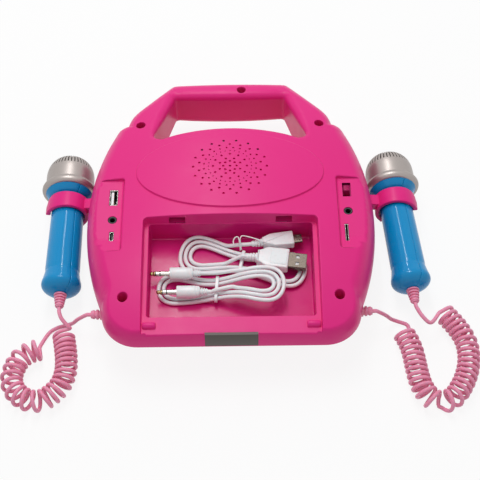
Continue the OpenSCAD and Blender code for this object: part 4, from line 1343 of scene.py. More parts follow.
def finish_relief(
    name: str, face: ReliefFace, mesh: bpy.types.Mesh, walls: Sequence[Shape],
    finish: Finish | Sequence[Finish], body: Body, replaces: Sequence[str],
) -> bpy.types.Object:
    """Joins a moulded face with the walls that hang from it, keeping the face's normals.

    Args:
        name: the piece's name.
        face: the moulded face.
        mesh: its mesh.
        walls: the strips that hang from its edges.
        finish: the finish.
        body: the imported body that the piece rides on.
        replaces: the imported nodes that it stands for.

    Returns:
        The piece.
    """
    strips = Shape()
    for wall in walls:
        strips.add(wall.points, wall.faces)
    extra = strips.mesh(name + "_walls")
    edit = bmesh.new()
    edit.from_mesh(mesh)
    edit.from_mesh(extra)
    edit.to_mesh(mesh)
    edit.free()
    piece = place_piece(name, mesh, finish, body, replaces, 40)
    normals = np.zeros((len(mesh.loops), 3), np.float32)
    mesh.corner_normals.foreach_get("vector", normals.ravel())
    vertices = np.zeros(len(mesh.loops), np.int32)
    mesh.loops.foreach_get("vertex_index", vertices)
    own = vertices < len(face.normals)
    normals[own] = face.normals[vertices[own]]
    mesh.normals_split_custom_set(normals.tolist())
    return piece


def hanging_wall(
    loop: Vec, heights: Sequence[Vec | float], insets: Sequence[float] | None = None
) -> Shape:
    """A strip that hangs from a closed edge in plan.

    Args:
        loop: the edge's points in plan.
        heights: the heights of the strip's rows.
        insets: how far each row lies outside the edge.

    Returns:
        The strip.
    """
    edge = Edge(loop)
    shape = Shape()
    rows = []
    for k, z in enumerate(heights):
        plan = edge.offset(insets[k]) if insets else loop
        rows.append(np.column_stack([plan, np.broadcast_to(z, len(plan))]).tolist())
    shape.loft(rows)
    return shape


def scatter(
    name: str, shape: Shape, places: Sequence[Sequence[float]], finish: Finish, body: Body,
    turns: Sequence[Sequence[float]] | None = None, sizes: Sequence[Sequence[float]] | None = None,
    sharp_deg: float = 38.0,
) -> bpy.types.Object:
    """Repeats one small form at many places with a node group.

    Args:
        name: the piece's name.
        shape: the form that is repeated.
        places: where its copies go.
        finish: the finish.
        body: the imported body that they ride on.
        turns: the rotation of each copy, as three angles in radians.
        sizes: the scale of each copy.
        sharp_deg: edges that turn by more than this are shaded sharp.

    Returns:
        The piece, with all of its copies as real faces.
    """
    count = len(places)
    seeds = bpy.data.meshes.new(name + "_places")
    seeds.from_pydata([[c * MM for c in p] for p in places], [], [])
    for label, values in (
        ("turn", turns or [(0.0, 0.0, 0.0)] * count), ("size", sizes or [(1.0, 1.0, 1.0)] * count)
    ):
        attribute = seeds.attributes.new(label, "FLOAT_VECTOR", "POINT")
        attribute.data.foreach_set("vector", np.array(values, np.float32).ravel())
    one = bpy.data.objects.new(name + "_one", shape.mesh(name + "_one"))
    carrier = bpy.data.objects.new(name + "_carrier", seeds)
    for each in (one, carrier):
        bpy.context.scene.collection.objects.link(each)
    modifier = carrier.modifiers.new("repeat", "NODES")
    modifier.node_group = repeating_group(name, one, finish)
    evaluated = carrier.evaluated_get(bpy.context.evaluated_depsgraph_get())
    mesh = bpy.data.meshes.new_from_object(evaluated)
    mesh.name = name
    for each in (carrier, one):
        bpy.data.objects.remove(each)
    mesh.materials.clear()
    return place_piece(name, mesh, finish, body, sharp_deg=sharp_deg)


def repeating_group(name: str, one: bpy.types.Object, finish: Finish) -> bpy.types.NodeTree:
    """Builds the node group that puts a form at every point of a mesh.

    Args:
        name: the group's name.
        one: the object with the form.
        finish: the finish that the copies get.

    Returns:
        The group.
    """
    group = bpy.data.node_groups.new(name + "_repeat", "GeometryNodeTree")
    group.interface.new_socket("Geometry", in_out="INPUT", socket_type="NodeSocketGeometry")
    group.interface.new_socket("Geometry", in_out="OUTPUT", socket_type="NodeSocketGeometry")
    entry = add_node(group, "NodeGroupInput")
    form = add_node(group, "GeometryNodeObjectInfo", {"Object": one})
    turn = add_node(
        group, "GeometryNodeInputNamedAttribute", {"Name": "turn"}, data_type="FLOAT_VECTOR"
    )
    size = add_node(
        group, "GeometryNodeInputNamedAttribute", {"Name": "size"}, data_type="FLOAT_VECTOR"
    )
    rotation = add_node(group, "FunctionNodeEulerToRotation", {"Euler": turn.outputs["Attribute"]})
    copies = add_node(
        group,
        "GeometryNodeInstanceOnPoints",
        {
            "Points": entry.outputs[0], "Instance": form.outputs["Geometry"],
            "Rotation": rotation.outputs["Rotation"], "Scale": size.outputs["Attribute"],
        },
    )
    real = add_node(group, "GeometryNodeRealizeInstances", {"Geometry": copies.outputs[0]})
    dressed = add_node(
        group, "GeometryNodeSetMaterial", {"Geometry": real.outputs[0], "Material": finish.build()}
    )
    add_node(group, "NodeGroupOutput", {0: dressed.outputs[0]})
    return group


@dataclass
class CasingForm:
    """The outline and the two moulded faces of the casing."""

    base_y: float = -115.5
    depth: float = 67.0
    joint_z: float = 34.0
    hub: tuple[float, float] = (0.0, -15.0)
    widest_y: float = -16.0
    side_radius: float = 195.0
    side_centre: float = -91.0
    base_flat: float = 64.02
    corner: tuple[float, float] = (26.0, 27.0)
    shoulder: tuple[tuple[float, float], ...] = (
        (88.15, 61.0), (85.75, 66.0), (82.55, 68.6), (79.15, 69.6),
    )
    handle: tuple[tuple[float, float], ...] = (
        (79.15, 69.6), (74.35, 82.0), (61.0, 97.5), (46.5, 113.3),
    )
    handle_corner: tuple[tuple[float, float], ...] = (
        (46.5, 113.3), (45.2, 114.5), (43.5, 115.2), (41.0, 115.45), (22.5, 115.5), (0.0, 115.5),
    )
    seam: float = 0.18
    grip_bow: float = 1.8
    grip_round: float = 7.0
    spacing: float = 1.5

    def __post_init__(self) -> None:
        """Measures the outline once, round the hub."""
        self.rim = self.outline()
        ring = spread_loop(self.rim.points, 0.4) - self.hub
        angle = np.arctan2(ring[:, 1], ring[:, 0])
        order = np.argsort(angle)
        self.rim_angle = angle[order]
        self.rim_reach = np.hypot(ring[:, 0], ring[:, 1])[order]
        self.rim_y = ring[order, 1] + self.hub[1]

    def right_side(self) -> list[Vec]:
        """The right half of the outline, from the base to the grip.

        Returns:
            The points.
        """
        points = [vec(0, self.base_y), vec(self.base_flat, self.base_y)]
        for i in range(1, 17):
            a = math.radians(90 * i / 16)
            points.append(
                vec(
                    self.base_flat + self.corner[0] * math.sin(a),
                    self.base_y + self.corner[1] * (1 - math.cos(a)),
                )
            )
        low = self.base_y + self.corner[1]
        for i in range(1, 60):
            y = low + (self.shoulder[0][1] - low) * i / 60
            points.append(vec(self.side_x(y), y))
        points += smooth([vec(*q) for q in self.shoulder], 4)[:-1]
        points += smooth([vec(*q) for q in self.handle], 8)[:-1]
        points += [vec(*q) for q in self.handle_corner]
        return points

    def side_x(self, y: float) -> float:
        """Half the casing's width at a height above the base."""
        return self.side_centre + math.sqrt(self.side_radius**2 - (y - self.widest_y) ** 2)

    def opening_step(self) -> Step:
        """The step at the finger opening, rounder along the struts and the grip.

        Returns:
            The step.
        """
        return Step(
            self.opening(), None, self.grip_round,
            swell=lambda p: np.interp(p[:, 1], [50, 72], [2.6, self.grip_round]),
        )

    def outline(self) -> Edge:
        """The whole outline at the joint of the shells.

        Returns:
            The outline, anticlockwise.
        """
        right = self.right_side()
        left = [vec(-q[0], q[1]) for q in reversed(right[1:-1])]
        loop = spread_loop(np.array(right + left), self.spacing)
        return Edge(loop, lambda p: -self.polar(p)[0])

    def polar(self, p: Vec) -> tuple[Vec, Vec, Vec]:
        """Where points lie between the hub and the outline.

        Args:
            p: the points in plan.

        Returns:
            Their distance from the outline along the ray from the hub, the y of the ray's end
            and the ray's length.
        """
        q = p - np.array(self.hub)
        a = np.arctan2(q[:, 1], q[:, 0])
        full = np.interp(a, self.rim_angle, self.rim_reach, period=2 * math.pi)
        end_y = np.interp(a, self.rim_angle, self.rim_y, period=2 * math.pi)
        return full - np.hypot(q[:, 0], q[:, 1]), end_y, full

    def inset(self, distance: Vec | float) -> Vec:
        """The outline drawn in towards the hub."""
        v = self.rim.points - np.array(self.hub)
        reach = np.hypot(v[:, 0], v[:, 1])
        return np.array(self.hub) + v * ((reach - distance) / reach)[:, None]

    def back_z(self, p: Vec) -> Vec:
        """The crown of the back."""
        d = p[:, 1] + 35
        fall = np.where(d > 0, 22 / 22650.25, 13 / 6006.25)
        return self.depth - fall * d**2 - 9 * (p[:, 0] / 100) ** 2

    def roll_width(self, y: Vec) -> Vec:
        """The width over which the back rolls down into the sides."""
        return np.interp(y, [-115.5, -103.5, -85.5, 61, 75, 115.5], [5, 6, 13, 13, 10, 10])

    def front_fall(self, y: Vec) -> Vec:
        """How far the front lies above the front rim, which the handle clears."""
        return np.interp(y, [47, 71, 115.5], [0, 14, 14])

    def opening(self) -> Edge:
        """The finger opening under the grip.

        Returns:
            Its edge.
        """
        r = (50.5**2 + 100) / 20
        reach = math.asin(50.5 / r)
        bow = [vec(r * math.sin(a), 57 - r + r * math.cos(a)) for a in np.linspace(-reach, reach, 33)]
        corner = smooth([vec(50.5, 47), vec(54.3, 48.4), vec(56.3, 52.5), vec(52.2, 65.5)], 5)[1:-1]
        top = [vec(47.7, 79.5), vec(43, 94), vec(42.5, 95.6), vec(41.6, 96.6), vec(40, 97)]
        bowed = [vec(x, 97 - self.grip_bow * (1 - (x / 40) ** 2)) for x in (32, 24, 16, 8)]
        right = corner + top + bowed
        left = [vec(-q[0], q[1]) for q in reversed(right)]
        loop = np.array(bow + right + [vec(0, 97 - self.grip_bow)] + left)
        return Edge(spread_loop(loop, 1.5))


@dataclass
class BackShell(CasingForm):
    """The back: plateau, flats for the sockets, tray, screw wells and perforations."""

    plateau: tuple[float, float, float] = (67.5, 36.0, 13.2)
    plateau_rise: float = 1.5
    speaker_y: float = 14.7
    rings: tuple[tuple[float, int, float, float], ...] = (
        (0.0, 1, 0.85, 0.0), (4.8, 8, 0.85, 0.0), (7.9, 8, 0.85, 22.5), (12.2, 12, 0.8, 0.0),
        (15.6, 28, 0.45, 0.0), (18.9, 24, 0.65, 7.5), (22.5, 18, 0.85, 10.0), (26.6, 18, 0.9, 0.0),
    )
    flat_in: float = 76.0
    flat_y: tuple[float, float] = (-54.0, 9.0)
    port_z: float = 56.5
    port_x: float = 83.5
    well_r: float = 3.5
    screw_seat: float = 3.0
    screws: tuple[tuple[float, float], ...] = (
        (73.6, -88.5), (-73.6, -88.5), (67.0, 63.5), (-67.0, 63.5), (9.0, 102.2),
    )
    recess_half: float = 61.0
    tray_half: float = 57.5
    tray_y: tuple[float, float] = (-101.0, -28.5)
    tray_floor: float = 38.0
    lip_y: float = -112.0
    latch_x: float = 37.5
    latch_w: float = 11.5
    latch_z: tuple[float, float] = (56.6, 63.2)
    latch_depth: float = 7.0

    def crown(self, p: Vec) -> Vec:
        """The crown of the back with its creased plateau.

        Args:
            p: the points in plan.

        Returns:
            The heights.
        """
        a, b, middle = self.plateau
        x, y = p[:, 0], p[:, 1] - middle
        rho = np.sqrt((x / a) ** 2 + (y / b) ** 2) + 1e-9
        gap = (rho - 1) * rho / (np.sqrt((x / a**2) ** 2 + (y / b**2) ** 2) + 1e-9)
        rise = self.plateau_rise * np.clip((50.7 - p[:, 1]) / 57.6, 0, 1)
        t = np.clip((gap + 0.35) / 0.8, 0, 1)
        return self.back_z(p) + rise * (1 - t * t * (3 - 2 * t))

    def base(self, p: Vec) -> Vec:
        """The back without its steps: the crown rolled down into the sides.

        Args:
            p: the points in plan.

        Returns:
            The heights.
        """
        inset, end_y, _ = self.polar(p)
        t = np.clip(np.abs(inset) / self.roll_width(end_y), 0, 1)
        rise = np.sqrt(1 - (1 - t) ** 2) * np.sign(inset)
        return self.joint_z + (self.crown(p) - self.joint_z) * rise

    def ledge(self, p: Vec) -> Vec:
        """The recess that a tray door would lie in, which falls towards the base."""
        lip = float(self.back_z(np.array([[self.recess_half, self.lip_y]]))[0]) - 2.5
        share = (p[:, 1] - self.lip_y) / (self.tray_y[1] - self.lip_y)
        return lip + (56.0 - lip) * share

    def flat(self, p: Vec) -> Vec:
        """The flats of the sockets, which run out towards the base."""
        return self.port_z + 0.25 * np.maximum(-42 - p[:, 1], 0)

    def perforations(self) -> list[tuple[float, float, float]]:
        """The holes of the speaker, in rings.

        Returns:
            The middle and the radius of each.
        """
        out = []
        for r, count, hole, first in self.rings:
            for i in range(count):
                a = math.radians(first + 360 * i / count)
                out.append((r * math.cos(a), self.speaker_y + r * math.sin(a), hole))
        return out

    def socket_holes(self) -> list[Step]:
        """The holes of the sockets in the two flats.

        Returns:
            The steps.
        """
        x = self.port_x
        slots = (
            (-x, -6.0, 6.1, 13.5, 0.5), (-x, -39.5, 3.3, 8.0, 0.8), (x, -1.3, 6.0, 12.0, 0.5),
            (81.5, -38.6, 2.6, 15.0, 0.3),
        )
        edges = [Edge.box(*slot, spacing=0.8) for slot in slots]
        edges += [Edge.circle(-x, -25.4, 3.2, 28), Edge.circle(x, -20.0, 3.2, 28)]
        return [Step(edge, None, 0.3) for edge in edges]

    def steps(self) -> list[Step]:
        """All that is sunk into the back.

        Returns:
            The steps, from the widest to the finest.
        """
        steps = []
        for s in (-1, 1):
            edge = Edge.box(
                s * (self.flat_in + 25), sum(self.flat_y) / 2, 50, self.flat_y[1] - self.flat_y[0], 2.2
            )
            steps.append(Step(edge, self.flat, 1.1, 1.4, 0.5))
        low, high = self.tray_y
        recess = Edge.box(0, (high - 135) / 2, 2 * self.recess_half, high + 135, 3.0)
        steps.append(Step(recess, self.ledge, 0.7, 0.4, 0.3))
        tray = Edge.box(0, (low + high - 0.7) / 2, 2 * self.tray_half, high - low - 0.7, 2.0)
        steps.append(Step(tray, lambda p: np.full(len(p), self.tray_floor), 0.5, 1.0, 0.4))
        steps.append(self.opening_step())
        seat = self.joint_z + self.screw_seat
        for x, y in self.screws:
            well = Edge.circle(x, y, self.well_r, 32)
            steps.append(Step(well, lambda p: np.full(len(p), seat), 0.5, 0.3, 0.1))
        steps += self.socket_holes()
        steps += [
            Step(Edge.circle(x, y, r, 14 if r > 0.6 else 8), None, 0.22)
            for x, y, r in self.perforations()
        ]
        return steps

    def relief(self) -> ReliefFace:
        """The whole back as one face.

        Returns:
            The face.
        """
        turns = [math.radians(a) for a in (0, 3, 7, 12, 18, 25, 34, 45, 58, 73, 90)]
        w = self.roll_width(self.rim.points[:, 1])
        rings = [self.inset(w * (1 - math.cos(a))) for a in turns]
        a, b, middle = self.plateau
        t = np.linspace(0, 2 * math.pi, 240, endpoint=False)
        creases = [
            np.stack([(a + d) * np.cos(t), middle + (b + d) * np.sin(t)], axis=1)
            for d in (-0.4, -0.15, 0.1, 0.35, 0.65)
        ]
        return ReliefFace(self.base, rings, self.rim, self.steps(), creases)

    def build(self) -> bpy.types.Object:
        """Makes the back shell.

        Returns:
            The piece.
        """
        face = self.relief()
        mesh = face.mesh("back_shell_form")
        opening = self.opening().points
        edge_z = face.height(opening)
        low = self.joint_z + self.seam
        walls = [
            hanging_wall(opening, [edge_z, (edge_z + self.joint_z) / 2, self.joint_z]),
            hanging_wall(self.rim.points, [self.joint_z, low, low], [0, 0.0, -0.8]),
        ]
        for s in (-1, 1):
            walls.append(self._cut_latch_slot(mesh, s * self.latch_x))
        piece = finish_relief(
            "moulded_back", face, mesh, walls, (PINK, TRAY_PINK_SHADED), Body.CASING, ("back_shell",)
        )
        self._polish_tray(mesh)
        holes = self.perforations()
        middles = np.array([(x, y) for x, y, _ in holes])
        tops = face.base(middles) - 0.2
        barrel = Shape.turned([(1, 0), (1, -1.1)], 14)
        scatter(
            "speaker_hole_walls", barrel,
            [(x, y, z) for (x, y, _), z in zip(holes, tops)], PINK, Body.CASING,
            sizes=[(r, r, 1.0) for _, _, r in holes],
        )
        self._hole_backing()
        return piece

    def _hole_backing(self) -> None:
        """Lays the speaker's pink gauze behind the holes."""
        shape = Shape()
        loops = []
        for r in (0.2, 8.0, 16.0, 24.0, 30.0):
            a = np.linspace(0, 2 * math.pi, 48, endpoint=False)
            plan = np.stack([r * np.cos(a), self.speaker_y + r * np.sin(a)], axis=1)
            loops.append(np.column_stack([plan, self.base(plan) - 1.3]).tolist())
        shape.loft(loops)
        place_piece("speaker_gauze", shape, PINK, Body.CASING)

    def _cut_latch_slot(self, mesh: bpy.types.Mesh, middle_x: float) -> Shape:
        """Cuts the slot of one door latch into the tray's upper wall.

        Args:
            mesh: the back's face, which is changed.
            middle_x: the slot's middle.

        Returns:
            The slot's own walls.
        """
        wall_y = self.tray_y[1]
        x0, x1 = middle_x - self.latch_w / 2, middle_x + self.latch_w / 2
        z0, z1 = self.latch_z
        edit = bmesh.new()
        edit.from_mesh(mesh)

        def near(co: Vector, grow: float) -> bool:
            """Whether a point lies on the wall round the slot."""
            x, y, z = (c / MM for c in co)
            across = x0 - grow < x < x1 + grow and z0 - grow < z < z1 + grow
            return across and abs(y - wall_y) < 0.7

        for point, normal in (
            ((x0, 0, 0), (1, 0, 0)), ((x1, 0, 0), (1, 0, 0)), ((0, 0, z0), (0, 0, 1)),
            ((0, 0, z1), (0, 0, 1)),
        ):
            faces = [
                f for f in edit.faces if any(near(v.co, 7.0) for v in f.verts) and
                abs(f.calc_center_median()[1] / MM - wall_y) < 0.7
            ]
            parts = {*faces, *(e for f in faces for e in f.edges), *(v for f in faces for v in f.verts)}
            bmesh.ops.bisect_plane(
                edit, geom=list(parts), dist=1e-7, plane_co=[c * MM for c in point], plane_no=normal
            )
        inside = [f for f in edit.faces if near(f.calc_center_median(), 0.0)]
        bmesh.ops.delete(edit, geom=inside, context="FACES_ONLY")
        edit.to_mesh(mesh)
        edit.free()
        depth = self.latch_depth
        shape = Shape()
        corners = [(x0, z0), (x1, z0), (x1, z1), (x0, z1)]
        shape.loft([[(x, y, z) for x, z in corners] for y in (wall_y - 0.05, wall_y + depth)])
        return shape

    def _polish_tray(self, mesh: bpy.types.Mesh) -> None:
        """Gives the tray's floor and walls their glossier finish and a darker pink that paints the shade in
        the recess.

        Args:
            mesh: the back's mesh.
        """
        low, high = self.tray_y
        half, top = self.tray_half + 0.3, self.ledge(np.array([[0.0, -65.0]]))[0] + 3
        # faces in the recess get the glossier pink, whose darker colour is painted shade
        for face in mesh.polygons:
            x, y, z = (c / MM for c in face.center)
            inside = abs(x) < half and low - 0.3 < y < high + 0.3
            if inside and z < min(top, self.ledge(np.array([[x, y]]))[0] - 0.6):
                face.material_index = 1


@dataclass
class FrontShell(CasingForm):
    """The front: tapering sides, the rim that it rests on and the sunk panel."""

    taper: float = 23.0
    rim_round: float = 4.0
    panel_in: float = 32.0
    panel_top: float = 45.0
    panel_depth: float = 2.0
    speaker_y: float = -7.0
    ring_r: float = 41.0
    button_r: float = 6.0
    buttons: tuple[tuple[float, float], ...] = (
        (-20.0, -59.0), (0.0, -59.0), (20.0, -59.0), (-20.0, -74.5), (0.0, -74.5), (20.0, -74.5),
    )

    def base(self, p: Vec) -> Vec:
        """The front without its panel, counted downwards.

        Args:
            p: the points in plan.

        Returns:
            The heights below z = 0, which are negative.
        """
        inset, _, _ = self.polar(p)
        side = self.joint_z - inset * self.joint_z / self.taper
        face = self.front_fall(p[:, 1])
        k = self.rim_round
        h = np.clip(0.5 + 0.5 * (side - face) / k, 0, 1)
        return -(face * (1 - h) + side * h + k * h * (1 - h))

    def panel(self) -> Edge:
        """The edge of the sunk panel.

        Returns:
            The edge.
        """
        p = self.inset(self.panel_in)
        p = np.column_stack([p[:, 0], np.minimum(p[:, 1], self.panel_top)])
        keep = np.linalg.norm(p - np.roll(p, 1, axis=0), axis=1) > 0.05
        return Edge(spread_loop(p[keep], 2.0))

    def steps(self) -> list[Step]:
        """All that is sunk into the front.

        Returns:
            The steps.
        """
        floor = -self.panel_depth
        steps = [
            Step(self.panel(), lambda p: np.full(len(p), floor), 0.6, 0.5, 0.2), self.opening_step(),
            Step(Edge.circle(0, self.speaker_y, self.ring_r + 0.2, 120), None, 0.4),
        ]
        steps += [Step(Edge.circle(x, y, self.button_r + 0.3, 36), None, 0.3) for x, y in self.buttons]
        return steps

    def relief(self) -> ReliefFace:
        """The whole front as one face.

        Returns:
            The face.
        """
        deep = self.joint_z - self.front_fall(self.rim.points[:, 1])
        full = self.taper * deep / self.joint_z
        shares = (0, 0.15, 0.3, 0.45, 0.6, 0.75, 0.84, 0.9, 0.95, 1, 1.05, 1.1, 1.16, 1.25)
        rings = [self.inset(full * f) for f in shares]
        return ReliefFace(self.base, rings, self.rim, self.steps(), facing=-1, spacing=4.0)

    def build(self) -> bpy.types.Object:
        """Makes the front shell.

        Returns:
            The piece.
        """
        face = self.relief()
        mesh = face.mesh("front_shell_form")
        opening = self.opening().points
        edge_z = -face.height(opening)
        high = self.joint_z - self.seam
        tongue = self.joint_z + 0.6
        walls = [
            hanging_wall(opening, [edge_z, (edge_z + self.joint_z) / 2, self.joint_z]),
            hanging_wall(self.rim.points, [self.joint_z, high, high, tongue], [0, 0, -0.5, -0.5]),
        ]
        return finish_relief("moulded_front", face, mesh, walls, PINK, Body.CASING, ("front_shell",))


@dataclass
class Microphone:
    """A child's hand microphone: slotted head, rim, handle halves, strain relief, switch."""

    side: Side
    axis_x: float = 122.5
    shift: float = 0.619
    middle_y: float = 8.5
    axis_z: float = 22.0
    right_tilt: float = 4.5
    grip_r: float = 11.9
    cone_s: float = 8.0
    rim_s: float = 13.5
    rim_r: float = 20.3
    rim_tube: float = 3.0
    head_s: float = 19.5
    dome_s: float = 28.0
    head_r: float = 18.0
    head_wall: float = 1.4
    tail_s: float = -74.0
    tail_r: float = 14.3
    waist_s: float = -53.0
    tail_hole: float = 3.0
    slots: int = 44
    slot_w: float = 0.7
    slot_from_deg: float = 24.0
    slot_to_deg: float = 76.0
    tail_grip_r: float = 12.5
    cap_s: float = -66.5
    cap_depth: float = 7.5
    crown: float = 0.9

    @property
    def body(self) -> Body:
        """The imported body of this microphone."""
        return Body.MIC_LEFT if self.side is Side.LEFT else Body.MIC_RIGHT

    @property
    def talk_body(self) -> Body:
        """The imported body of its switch."""
        return Body.TALK_LEFT if self.side is Side.LEFT else Body.TALK_RIGHT

    @property
    def place(self) -> Matrix:
        """The matrix that lays the microphone's own Z axis along its clip."""
        tilt = math.radians(self.right_tilt) if self.side is Side.RIGHT else 0.0
        x = self.side.value * self.axis_x + self.shift
        return (
            Matrix.Translation((x, self.middle_y, self.axis_z))
            @ Matrix.Rotation(tilt, 4, "Z")
            @ Matrix.Rotation(math.radians(-90), 4, "X")
        )

    def build(self) -> None:
        """Makes all pieces of the microphone."""
        word = self.side.word
        self._head(word)
        self._rim(word)
        self._handle(word)
        self._switch(word)

    def _dome(self, turn: float, r: float) -> tuple[float, float]:
        """A point of the head's dome."""
        a = math.radians(turn)
        return r * math.sin(a) ** self.crown, self.dome_s + r * math.cos(a) ** self.crown

    def _head(self, word: str) -> None:
        """Makes the slotted head and the dark foam behind its slots."""
        rows = [(0.0, None)] + [(float(t), None) for t in (6, 12, 18)]
        step = (self.slot_to_deg - self.slot_from_deg) / 12
        rows += [(self.slot_from_deg + step * i, i) for i in range(13)]
        rows += [(float(t), None) for t in (80, 84, 87, 89.99)]
        profile = [self._dome(t, self.head_r) for t, _ in rows]
        profile += [(self.head_r, self.head_s + 4), (self.head_r, self.head_s - 3)]
        slotted = [i for i, (_, k) in enumerate(rows) if k is not None]
        shape = Shape()
        inner = Shape()
        per = 6
        loops, deep_loops = [], []
        for r, s in profile:
            angles = self._slot_angles(max(r, 4.0), per)
            loops.append([(r * math.cos(a), r * math.sin(a), s) for a in angles])
            k = max(0.0, 1 - self.head_wall / max(math.hypot(r, s - self.dome_s), 1.0))
            deep_loops.append(
                [
                    (r * k * math.cos(a), r * k * math.sin(a), self.dome_s + (s - self.dome_s) * k)
                    for a in angles
                ]
            )
        n = len(loops[0])
        low, high = slotted[0], slotted[-1]
        faces = []
        for row in range(len(loops) - 1):
            for i in range(n):
                open_cell = low <= row < high and i % per in (0, 1)
                if not open_cell:
                    j = (i + 1) % n
                    faces.append((row * n + i, row * n + j, (row + 1) * n + j, (row + 1) * n + i))
        shape.add([p for loop in loops for p in loop], faces)
        for i in range(0, n, per):
            for c in (i, i + 2):
                rows_out = [loops[row][c % n] for row in range(low, high + 1)]
                rows_in = [deep_loops[row][c % n] for row in range(low, high + 1)]
                inner.loft([rows_out, rows_in], closed=False)
            for row in (low, high):
                ends_out = [loops[row][(i + c) % n] for c in range(3)]
                ends_in = [deep_loops[row][(i + c) % n] for c in range(3)]
                inner.loft([ends_out, ends_in], closed=False)
        shape.add(inner.points, inner.faces)
        head = shape.moved(self.place).mesh(f"mic_head_{word}")
        place_piece(f"slotted_head_{word}", head, SILVER, self.body, (f"mic_head_{word}",), 42)
        r = self.head_r - self.head_wall - 0.4
        round_top = [self._dome(min(t, 89.99), r) for t in range(0, 91, 10)]
        foam = Shape.turned([*round_top, (r, self.head_s)], 48)
        place_piece(f"head_foam_{word}", foam.moved(self.place), FOAM, self.body)

    def _slot_angles(self, r: float, per: int) -> list[float]:
        """Angles round the head, with three at each slot.

        Args:
            r: the radius at which the slots keep their width.
            per: the number of angles to a slot.

        Returns:
            The angles, in radians.
        """
        pitch = 2 * math.pi / self.slots
        half = min(math.asin(min(1.0, self.slot_w / 2 / r)), pitch * 0.4)
        out = []
        for k in range(self.slots):
            middle = pitch * k
            out += [middle - half, middle, middle + half]
            rest = pitch - 2 * half
            out += [middle + half + rest * q / (per - 2) for q in range(1, per - 2)]
        return out

    def _rim(self, word: str) -> None:
        """Makes the rounded rim between head and handle."""
        middle_r = self.rim_r - self.rim_tube
        middle_s = self.rim_s + self.rim_tube
        profile = [(self.head_r - 3.0, self.rim_s)]
        profile += [
            (
                middle_r + self.rim_tube * math.cos(math.radians(a)),
                middle_s + self.rim_tube * math.sin(math.radians(a)),
            )
            for a in range(-90, 46, 9)
        ]
        last_r, last_s = profile[-1]
        for t in (0.25, 0.5, 0.75, 1.0):
            a = math.radians(90 * t)
            profile.append(
                (last_r - (last_r - self.head_r - 0.05) * math.sin(a), last_s + 2.0 * (1 - math.cos(a)))
            )
        profile.append((self.head_r - 1.5, last_s + 2.0))
        shape = Shape.turned(profile, 128)
        place_piece(
            f"head_rim_{word}", shape.moved(self.place).mesh(f"mic_rim_{word}"), SILVER,
            self.body, (f"mic_rim_{word}",), 60,
        )

    def _profile(self) -> list[Vec]:
        """The handle's outer profile, from the tail's hole to the rim.

        Returns:
            Points of radius and place along the axis.
        """
        cup = [
            vec(
                self.tail_r * math.sin(math.radians(a)),
                self.cap_s - self.cap_depth * math.cos(math.radians(a)),
            )
            for a in range(14, 91, 4)
        ]
        wide, waist_r = self.tail_r, self.tail_grip_r
        waist = smooth(
            [
                vec(wide, self.cap_s), vec(wide - 0.15, self.cap_s + 1.6),
                vec(wide - 0.8, self.cap_s + 4.2), vec(waist_r + 0.15, self.waist_s - 5),
                vec(waist_r - 0.1, self.waist_s - 3.4), vec(waist_r, self.waist_s),
                vec(waist_r - 0.1, self.waist_s + 10), vec(self.grip_r + 0.3, self.waist_s + 28),
            ],
            5,
        )
        cone = smooth(
            [
                vec(self.grip_r, self.cone_s - 2), vec(self.grip_r + 0.3, self.cone_s + 0.2),
                vec(self.grip_r + 2.4, self.cone_s + 1.8), vec(self.head_r - 0.6, self.rim_s),
            ],
            5,
        )
        barrel = [vec(self.grip_r + 0.15, self.waist_s + 42)]
        end = [vec(self.head_r - 3.2, self.rim_s + 0.3)]
        return [vec(self.tail_hole, self.tail_s), *cup, *waist[1:], *barrel, *cone, *end]

    def _handle(self, word: str) -> None:
        """Makes the two halves of the handle, with a fine groove where they meet."""
        profile = self._profile()
        seam = 115.0 if self.side is Side.RIGHT else 127.0
        groove = 0.22
        for name, first in (("outer", seam), ("inner", seam + 180)):
            edges = [0.5, 1.2, 2.4]
            angles = edges + [3.6 + 172.8 * i / 44 for i in range(45)] + [180 - e for e in edges[::-1]]
            drop = [groove * 2.2, groove * 0.5, 0.0]
            sink = drop + [0.0] * 45 + drop[::-1]
            loops = [
                [
                    (
                        (max(r, 0.1) - d) * math.cos(math.radians(first + a)),
                        (max(r, 0.1) - d) * math.sin(math.radians(first + a)), s,
                    )
                    for a, d in zip(angles, sink)
                ]
                for r, s in profile
            ]
            shape = Shape.lofted(loops, closed=False)
            place_piece(
                f"handle_{name}_half_{word}", shape.moved(self.place).mesh(f"mic_handle_{name}_{word}"),
                BLUE, self.body, (f"mic_handle_{name}_{word}",), 50,
            )
        core = Shape.turned([(max(r, 0.1) - 0.9, s) for r, s in profile], 48)
        place_piece(f"handle_core_{word}", core.moved(self.place), BLUE, self.body)

    def _switch(self, word: str) -> None:
        """Makes the ridged thumb of the talk switch."""
        around = 62.0 if self.side is Side.RIGHT else 118.0
        place = (
            self.place
            @ Matrix.Rotation(math.radians(around), 4, "Z")
            @ Matrix.Translation((self.grip_r, 0, -24.0))
        )
        thumb = rounded_box((-1.6, -2.0, -3.5), (1.0, 2.0, 3.5), 0.4)
        place_piece(
            f"talk_thumb_{word}", thumb.moved(place), BLUE, self.talk_body, (f"mic_switch_{word}",), 40
        )
        ridge = rounded_box((-0.3, -1.7, -0.28), (0.3, 1.7, 0.28), 0.2, 2)
        middles = [place @ Vector((1.05, 0, s)) for s in (-2.1, -1.05, 0.0, 1.05, 2.1)]
        turn = place.to_euler()
        scatter(
            f"talk_ridges_{word}", ridge, [tuple(m) for m in middles], BLUE, self.talk_body,
            turns=[tuple(turn)] * len(middles),
        )


